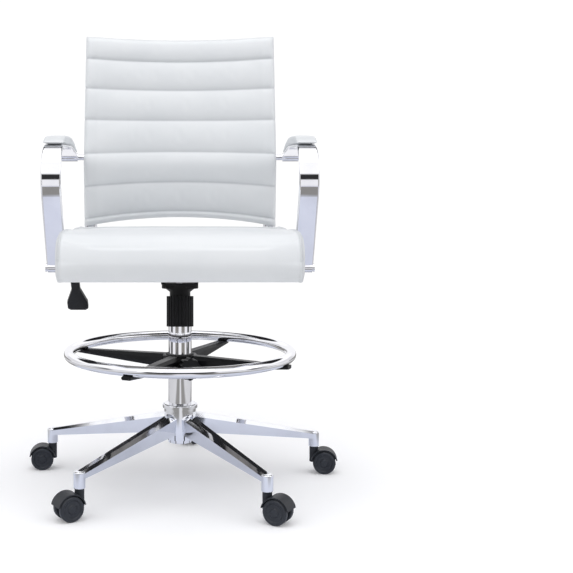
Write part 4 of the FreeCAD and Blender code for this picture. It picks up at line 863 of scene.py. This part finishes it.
    def seam_share(self, at: Vector) -> float:
        """How deep the seams are at a point, 0 to 1."""
        side = valley(abs(at.x) - self.seam_at(at.y), self.seam_width) if at.z > 0.462 else 0.0
        if at.z < self.under_z(at.y) + 14.0 * MM:
            return side * 0.5
        cross = 0.0
        if at.z > 0.535:
            for y in self.cross_seams:
                cross = max(cross, 0.55 * valley(at.y - y, 4.5 * MM))
        pucker = 0.5 + 0.5 * noise.noise(at * 95.0)
        return max(side * (0.8 + 0.2 * pucker), cross * (0.75 + 0.25 * pucker))

    def thread(self, cushion: bpy.types.Object) -> bpy.types.Object:
        """Sews the boxing seams and the cross seams.

        Args:
            cushion: the finished cushion.

        Returns:
            All the thread as one piece.
        """
        sides = self.outline()
        rim = [*sides["top"], *sides["nose"][1:-12]]
        surface = surface_of(cushion)
        work = bmesh.new()
        run = StitchRun()
        count = 0
        for side in Side:
            for inset in (5.0 * MM, -4.0 * MM):
                line = [Vector((side.value * (self.seam_at(point.y) - inset), point.y, point.z))
                        for point in rim]
                count += run.sew(work, line, surface)
        for y in self.cross_seams:
            height = at_share(sides["top"], (0.183 - y) / 0.44).z
            line = [Vector((-0.219 + 0.438 * step / 40, y, height)) for step in range(41)]
            count += StitchRun(sink=0.25 * MM).sew(work, line, surface)
        LOG.info("seat thread: %d stitches", count)
        return as_object("seat_thread", work, self.palette.thread)

    def fit(self) -> None:
        """Builds the cushion and its thread on the seat body."""
        cushion = self.build()
        thread = self.thread(cushion)
        for piece in (cushion, thread):
            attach(piece, "seat")
        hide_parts("seat_cushion")


# ---- back ---------------------------------------------------------------------
@dataclass
class BackPad:
    """Back pad in sewn cross channels, with a rolled hem at its lower edge."""

    palette: Palette
    nodes: dict[str, bpy.types.Object]
    half_w: float = 227.0 * MM
    seam_z: Sequence[float] = (563.2, 579.5, 649.0, 721.0, 796.0, 869.0, 939.0, 993.8)
    seam_rise: Sequence[float] = (-20.0, -18.5, -11.0, -5.0, 1.0, 4.0, 6.5, 6.0)
    rows_per_channel: int = 12
    columns: int = 74
    front_depth: float = 5.4 * MM
    rear_depth: float = 3.0 * MM
    front_bulge: float = 1.2 * MM
    rim: float = 11.0 * MM

    def seam_height(self, index: float, x: float) -> float:
        """Height of a seam line, or of a line between two, at a place across the pad.

        Args:
            index: 0 for the lower edge up to 7 for the upper edge.
            x: place across the pad.

        Returns:
            Its height.
        """
        low = min(int(index), len(self.seam_z) - 2)
        part = index - low
        across = (x / self.half_w) ** 2

        def height(which: int) -> float:
            """Height of one seam line at this place across."""
            return (self.seam_z[which] + self.seam_rise[which] * across) * MM

        return height(low) * (1 - part) + height(low + 1) * part

    def face(self, solid: BVHTree, x: float, z: float, way: float) -> float:
        """Depth of the CAD pad's front or rear face.

        Args:
            solid: the CAD pad.
            x: place across.
            z: height.
            way: 1 for the front face, -1 for the rear face.

        Returns:
            Its Y.
        """
        reach = self.half_w + 0.2 * MM
        hit = solid.ray_cast(Vector((min(max(x, -reach), reach), -2.0 * way, z)), Vector((0.0, way, 0.0)))
        return hit[0].y if hit[0] is not None else 0.25

    def build(self) -> bpy.types.Object:
        """Builds and fills the pad.

        Returns:
            The pad.
        """
        source = welded_copy(self.nodes["back_pad"])
        solid = BVHTree.FromBMesh(source)
        source.free()
        channels = len(self.seam_z) - 1
        rows = channels * self.rows_per_channel
        work = bmesh.new()
        bmesh.ops.create_grid(work, x_segments=self.columns, y_segments=rows, size=1.0)
        across = work.verts.layers.float.new("across")
        upward = work.verts.layers.float.new("upward")
        rear = work.verts.layers.float.new("rear")
        for vertex in work.verts:
            vertex[across] = vertex.co.x
            vertex[upward] = (vertex.co.y + 1) / 2 * channels
        grown = bmesh.ops.extrude_face_region(work, geom=work.faces[:])
        for item in grown["geom"]:
            if isinstance(item, bmesh.types.BMVert):
                item[rear] = 1.0
        for vertex in work.verts:
            vertex.co = self.spot(solid, vertex[across], vertex[upward], vertex[rear] > 0.5)
        bmesh.ops.remove_doubles(work, verts=work.verts, dist=1e-5)
        pad = as_object("back_upholstery", work, self.palette.by_slot[Slot.LEATHER])
        Swelling(pressure=4.0, cap=2.6 * MM).run(pad, self.held)
        subdivide(pad)
        mark_seams(pad, self.seam_share, 1.1 * MM)
        LOG.info("back pad: %d faces", len(pad.data.polygons))
        return pad

    def spot(self, solid: BVHTree, across: float, upward: float, is_rear: bool) -> Vector:
        """Place of one grid point of the pad.

        Args:
            solid: the CAD pad.
            across: -1 to 1 across the pad.
            upward: 0 at the lower edge up to the channel count.
            is_rear: whether it is on the rear cover.

        Returns:
            The point.
        """
        spread = across + 0.35 * math.sin(math.pi * across) / math.pi
        x = self.half_w * spread
        z = self.seam_height(upward, x)
        front = self.face(solid, x, z, 1.0)
        back = self.face(solid, x, z, -1.0)
        middle = (front + back) / 2
        part = upward - math.floor(upward) if upward < len(self.seam_z) - 1 else 1.0
        puff = max(0.0, 1 - (2 * part - 1) ** 2) ** 0.55
        edge_x = self.half_w - abs(x)
        edge_z = min(z - self.seam_height(0, x), self.seam_height(len(self.seam_z) - 1, x) - z)
        if part in (0.0, 1.0) and upward not in (0.0, float(len(self.seam_z) - 1)):
            edge_z = max(edge_z, self.rim)
        rounding = 1.0
        for edge in (edge_x, edge_z):
            near = min(max(edge, 0.0) / self.rim, 1.0)
            rounding *= 0.22 + 0.78 * math.sqrt(max(0.0, 1 - (1 - near) ** 2))
        flat = min(edge_x / (18.0 * MM), 1.0)
        if is_rear:
            depth = self.rear_depth * (1 - puff) * (0.35 + 0.65 * flat)
            return Vector((x, middle + (back - depth - middle) * rounding, z))
        depth = self.front_depth * (1 - puff) * (0.45 + 0.55 * flat) - self.front_bulge * puff
        return Vector((x, middle + (front + depth - middle) * rounding, z))

    def held(self, at: Vector) -> float:
        """The seams and the rim stay where they are sewn."""
        edge = min(self.half_w - abs(at.x), at.z - self.seam_height(0, at.x),
                   self.seam_height(len(self.seam_z) - 1, at.x) - at.z)
        return max(self.seam_only(at, 3.5 * MM), 1.0 if edge < 5.0 * MM else 0.0)

    def seam_only(self, at: Vector, width: float) -> float:
        """How close a point is to a seam line, 1 on it."""
        share = 0.0
        for index in range(1, len(self.seam_z) - 1):
            share = max(share, valley(at.z - self.seam_height(index, at.x), width))
        return share

    def seam_share(self, at: Vector) -> float:
        """Seam mask with the small puckers that the thread pulls in."""
        pucker = 0.5 + 0.5 * noise.noise(Vector((at.x * 70.0, at.y * 70.0, at.z * 30.0)))
        return self.seam_only(at, 2.2 * MM) * (0.8 + 0.2 * pucker)

    def thread(self, pad: bpy.types.Object) -> bpy.types.Object:
        """Sews each channel seam on both covers, and the hem twice.

        Args:
            pad: the finished pad.

        Returns:
            All the thread as one piece.
        """
        surface = surface_of(pad)
        work = bmesh.new()
        count = 0
        for index in range(1, len(self.seam_z) - 1):
            for way in (1.0, -1.0):
                line = []
                for step in range(61):
                    x = (self.half_w - 9.0 * MM) * (step / 30 - 1)
                    z = self.seam_height(index, x)
                    hit = surface.ray_cast(Vector((x, -2.0 * way, z)), Vector((0.0, way, 0.0)))
                    if hit[0] is not None:
                        line.append(hit[0])
                count += StitchRun(sink=0.2 * MM).sew(work, line, surface)
        LOG.info("back thread: %d stitches", count)
        return as_object("back_thread", work, self.palette.thread)

    def fit(self) -> None:
        """Builds the pad and its thread on the seat body."""
        pad = self.build()
        thread = self.thread(pad)
        for piece in (pad, thread):
            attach(piece, "seat")
        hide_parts("back_pad")


# ---- small soft pieces --------------------------------------------------------
@dataclass
class SewnCopy:
    """A soft piece grown from its CAD solid: remeshed, filled and rounded."""

    palette: Palette
    nodes: dict[str, bpy.types.Object]
    node: str
    name: str
    voxel: float = 4.0 * MM
    shrink: float = 1.2 * MM
    swelling: Swelling | None = None
    seam_height: float | None = None
    fill: float | None = None

    def build(self) -> bpy.types.Object:
        """Builds the piece.

        Returns:
            The soft piece.
        """
        work = welded_copy(self.nodes[self.node])
        piece = as_object(self.name, work, self.palette.by_slot[Slot.LEATHER])
        remesh = piece.modifiers.new("voxels", "REMESH")
        remesh.mode = "VOXEL"
        remesh.voxel_size = self.voxel
        settle(piece)
        work = bmesh.new()
        work.from_mesh(piece.data)
        for _round in range(3):
            bmesh.ops.smooth_vert(work, verts=work.verts, factor=0.5, use_axis_x=True,
                                  use_axis_y=True, use_axis_z=True)
        work.normal_update()
        for vertex in work.verts:
            vertex.co -= vertex.normal * self.shrink
        work.to_mesh(piece.data)
        work.free()
        if self.swelling is not None:
            self.swelling.run(piece, self.held)
        subdivide(piece)
        mark_seams(piece, self.seam_share, 1.2 * MM)
        LOG.info("%s: %d faces", self.name, len(piece.data.polygons))
        return piece

    def middle_z(self, at: Vector) -> float:
        """Height of the side seam, which follows the piece's lower face."""
        if self.seam_height is None:
            return -1.0
        box_low, _box_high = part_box(self.node)
        drop = max(0.0, at.y - 0.1) * 0.143
        return box_low.z + self.seam_height - drop

    def held(self, at: Vector) -> float:
        """The lower face lies on the bar and doesn't swell."""
        return 1.0 if at.z < self.middle_z(at) - 1.0 * MM else 0.0

    def seam_share(self, at: Vector) -> float:
        """A side seam along the piece's lower edge."""
        if self.seam_height is None:
            return 0.0
        return valley(at.z - self.middle_z(at), 1.8 * MM)

    def fit(self) -> None:
        """Builds the piece on the seat body."""
        piece = self.build()
        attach(piece, "seat")
        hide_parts(self.node)


# ---- studio -------------------------------------------------------------------
@dataclass
class Studio:
    """Pale floor, soft lights, surroundings and camera."""

    camera_at: tuple[float, float, float] = (0.0, -2.3252, 0.6837)
    lens: float = 67.894
    shift: tuple[float, float] = (0.1858, -0.1501)
    floor_r: float = 1.45
    pitch_deg: float = 1.770

    def floor(self) -> None:
        """Lays the floor, white to the camera, with painted reflection tones for reflection rays only:
        lavender under the chair, grey and dark zones further out.
        """
        work = bmesh.new()
        bmesh.ops.create_circle(work, cap_ends=True, segments=96, radius=self.floor_r)
        material = bpy.data.materials.new("pale_floor")
        material.use_nodes = True
        material.node_tree.nodes.clear()
        sheet = NodeSheet(material.node_tree)
        place = sheet.add("ShaderNodeTexCoord").outputs["Object"]
        tone = sheet.mix(sheet.noise(place, 1.5, 2.0), (0.96, 0.962, 0.97), (0.95, 0.953, 0.965))
        shader = sheet.add("ShaderNodeBsdfPrincipled")
        far = sheet.add("ShaderNodeVectorMath", operation="LENGTH")
        sheet.join(place, far.inputs[0])
        split = sheet.add("ShaderNodeSeparateXYZ")
        sheet.join(place, split.inputs[0])
        aside = sheet.math("ABSOLUTE", sheet.math("SUBTRACT", split.outputs["X"], 0.06))
        outer = sheet.mix(sheet.ramp(aside, 0.07, 0.20), (0.62, 0.62, 0.63), (0.17, 0.165, 0.155))
        outer = sheet.mix(sheet.ramp(aside, 0.55, 0.75), outer, (0.55, 0.55, 0.56))
        ground = sheet.mix(sheet.ramp(far.outputs["Value"], 0.52, 0.70), (0.58, 0.61, 0.71), outer)
        # painted reflection: reflection rays see these lavender, grey and dark tones instead of the white
        # floor
        mirrored = sheet.add("ShaderNodeLightPath").outputs["Is Glossy Ray"]
        sheet.join(sheet.mix(mirrored, tone, ground), shader.inputs["Base Color"])
        shader.inputs["Emission Color"].default_value = (1.0, 1.0, 1.0, 1.0)
        shader.inputs["Emission Strength"].default_value = 0.08
        shader.inputs["Roughness"].default_value = 0.7
        shader.inputs["Specular IOR Level"].default_value = 0.2
        sheet.join(shader.outputs[0], sheet.add("ShaderNodeOutputMaterial").inputs["Surface"])
        floor = as_object("studio_floor", work, material)
        for vertex in floor.data.vertices:
            vertex.co.z = -0.0002

    def surroundings(self) -> None:
        """A pale room with a darker band in front, for bright metal to reflect."""
        world = bpy.data.worlds.new("studio_room")
        bpy.context.scene.world = world
        world.use_nodes = True
        world.node_tree.nodes.clear()
        sheet = NodeSheet(world.node_tree)
        place = sheet.add("ShaderNodeTexCoord").outputs["Generated"]
        split = sheet.add("ShaderNodeSeparateXYZ")
        sheet.join(place, split.inputs[0])
        x, y, z = split.outputs["X"], split.outputs["Y"], split.outputs["Z"]
        side = sheet.math("ABSOLUTE", x)
        ceiling = sheet.ramp(z, 0.20, 0.30)
        behind = sheet.ramp(y, -0.45, 0.30)
        wall = sheet.mix(behind, (0.03, 0.03, 0.032), (1.0, 1.0, 1.02))
        screens = sheet.math("MULTIPLY", sheet.ramp(side, 0.50, 0.62), sheet.ramp(side, 0.97, 0.90))
        wall = sheet.mix(screens, wall, (0.80, 0.80, 0.82))
        lit = sheet.mix(ceiling, wall, (1.12, 1.12, 1.14))
        gap = sheet.math("MULTIPLY", sheet.ramp(z, 0.44, 0.50), sheet.ramp(z, 0.86, 0.78))
        gap = sheet.math("MULTIPLY", gap, sheet.ramp(y, 0.22, 0.34))
        lit = sheet.mix(gap, lit, (0.02, 0.02, 0.022))
        stripe = sheet.math("MULTIPLY", sheet.ramp(side, 0.18, 0.30), sheet.ramp(side, 0.80, 0.66))
        shore = sheet.mix(stripe, (0.95, 0.95, 0.98), (0.26, 0.25, 0.235))
        shore = sheet.mix(sheet.ramp(side, 0.93, 0.985), shore, (0.10, 0.10, 0.10))
        deep = sheet.mix(sheet.ramp(z, -0.52, -0.34), (0.60, 0.62, 0.73), shore)
        lit = sheet.mix(sheet.ramp(z, -0.10, -0.02), deep, lit)
        seen = sheet.add("ShaderNodeBackground")
        seen.inputs["Color"].default_value = (1.0, 1.0, 1.0, 1.0)
        seen.inputs["Strength"].default_value = 1.05
        mirrored = sheet.add("ShaderNodeBackground")
        sheet.join(lit, mirrored.inputs["Color"])
        mirrored.inputs["Strength"].default_value = 1.0
        path = sheet.add("ShaderNodeLightPath")
        either = sheet.add("ShaderNodeMixShader")
        sheet.join(path.outputs["Is Camera Ray"], either.inputs[0])
        sheet.join(mirrored.outputs[0], either.inputs[1])
        sheet.join(seen.outputs[0], either.inputs[2])
        output = sheet.add("ShaderNodeOutputWorld")
        sheet.join(either.outputs[0], output.inputs["Surface"])

    @staticmethod
    def lamp(name: str, at: tuple[float, float, float], aim: tuple[float, float, float],
             size: float, watts: float) -> None:
        """Hangs one soft square lamp.

        Args:
            name: its name.
            at: its place.
            aim: what it points at.
            size: its side.
            watts: its power.
        """
        light = bpy.data.lights.new(name, "AREA")
        light.shape = "SQUARE"
        light.size = size
        light.energy = watts
        lamp = bpy.data.objects.new(name, light)
        lamp.location = at
        lamp.rotation_euler = (Vector(aim) - Vector(at)).to_track_quat("-Z", "Y").to_euler()
        bpy.context.scene.collection.objects.link(lamp)

    def lights(self) -> None:
        """Hangs the lamps."""
        self.lamp("overhead_softbox", (0.0, -0.4, 3.4), (0.0, 0.0, 0.0), 2.6, 26.0)
        self.lamp("front_softbox", (-1.6, -2.8, 2.4), (0.0, 0.0, 0.6), 1.6, 6.0)
        self.lamp("side_softbox", (2.6, -0.9, 1.7), (0.0, 0.0, 0.6), 1.4, 3.0)

    def camera(self) -> None:
        """Sets the camera level with the chair's arms, looking along +Y and slightly down."""
        data = bpy.data.cameras.new("front_camera")
        data.lens = self.lens
        data.sensor_width = 36.0
        data.shift_x, data.shift_y = self.shift
        data.clip_start = 0.05
        data.clip_end = 60.0
        camera = bpy.data.objects.new("front_camera", data)
        camera.location = self.camera_at
        camera.rotation_euler = (math.radians(90.0 - self.pitch_deg), 0.0, 0.0)
        bpy.context.scene.collection.objects.link(camera)
        bpy.context.scene.camera = camera

    def fit(self) -> None:
        """Builds the whole studio."""
        bpy.context.scene.view_settings.view_transform = "Standard"
        self.camera()
        self.floor()
        self.surroundings()
        self.lights()


def main() -> None:
    """Builds the studio, dresses the CAD nodes and adds the upholstery."""
    logging.basicConfig(level=logging.WARNING)
    LOG.setLevel(logging.INFO)
    nodes = frame["nodes"]
    Studio().fit()
    palette = Palette()
    palette.dress_nodes(nodes)
    SeatCushion(palette).fit()
    BackPad(palette, nodes).fit()
    for side in Side:
        label = side.name.lower()
        SewnCopy(palette, nodes, f"arm_pad_{label}", f"arm_pad_cover_{label}", voxel=4.0 * MM,
                 swelling=Swelling(pressure=3.0, cap=2.5 * MM), seam_height=5.0 * MM, fill=0.8).fit()
    SewnCopy(palette, nodes, "hem_tabs", "hem_tab_covers", voxel=1.5 * MM, shrink=0.1 * MM).fit()


if __name__ == "__main__":
    main()
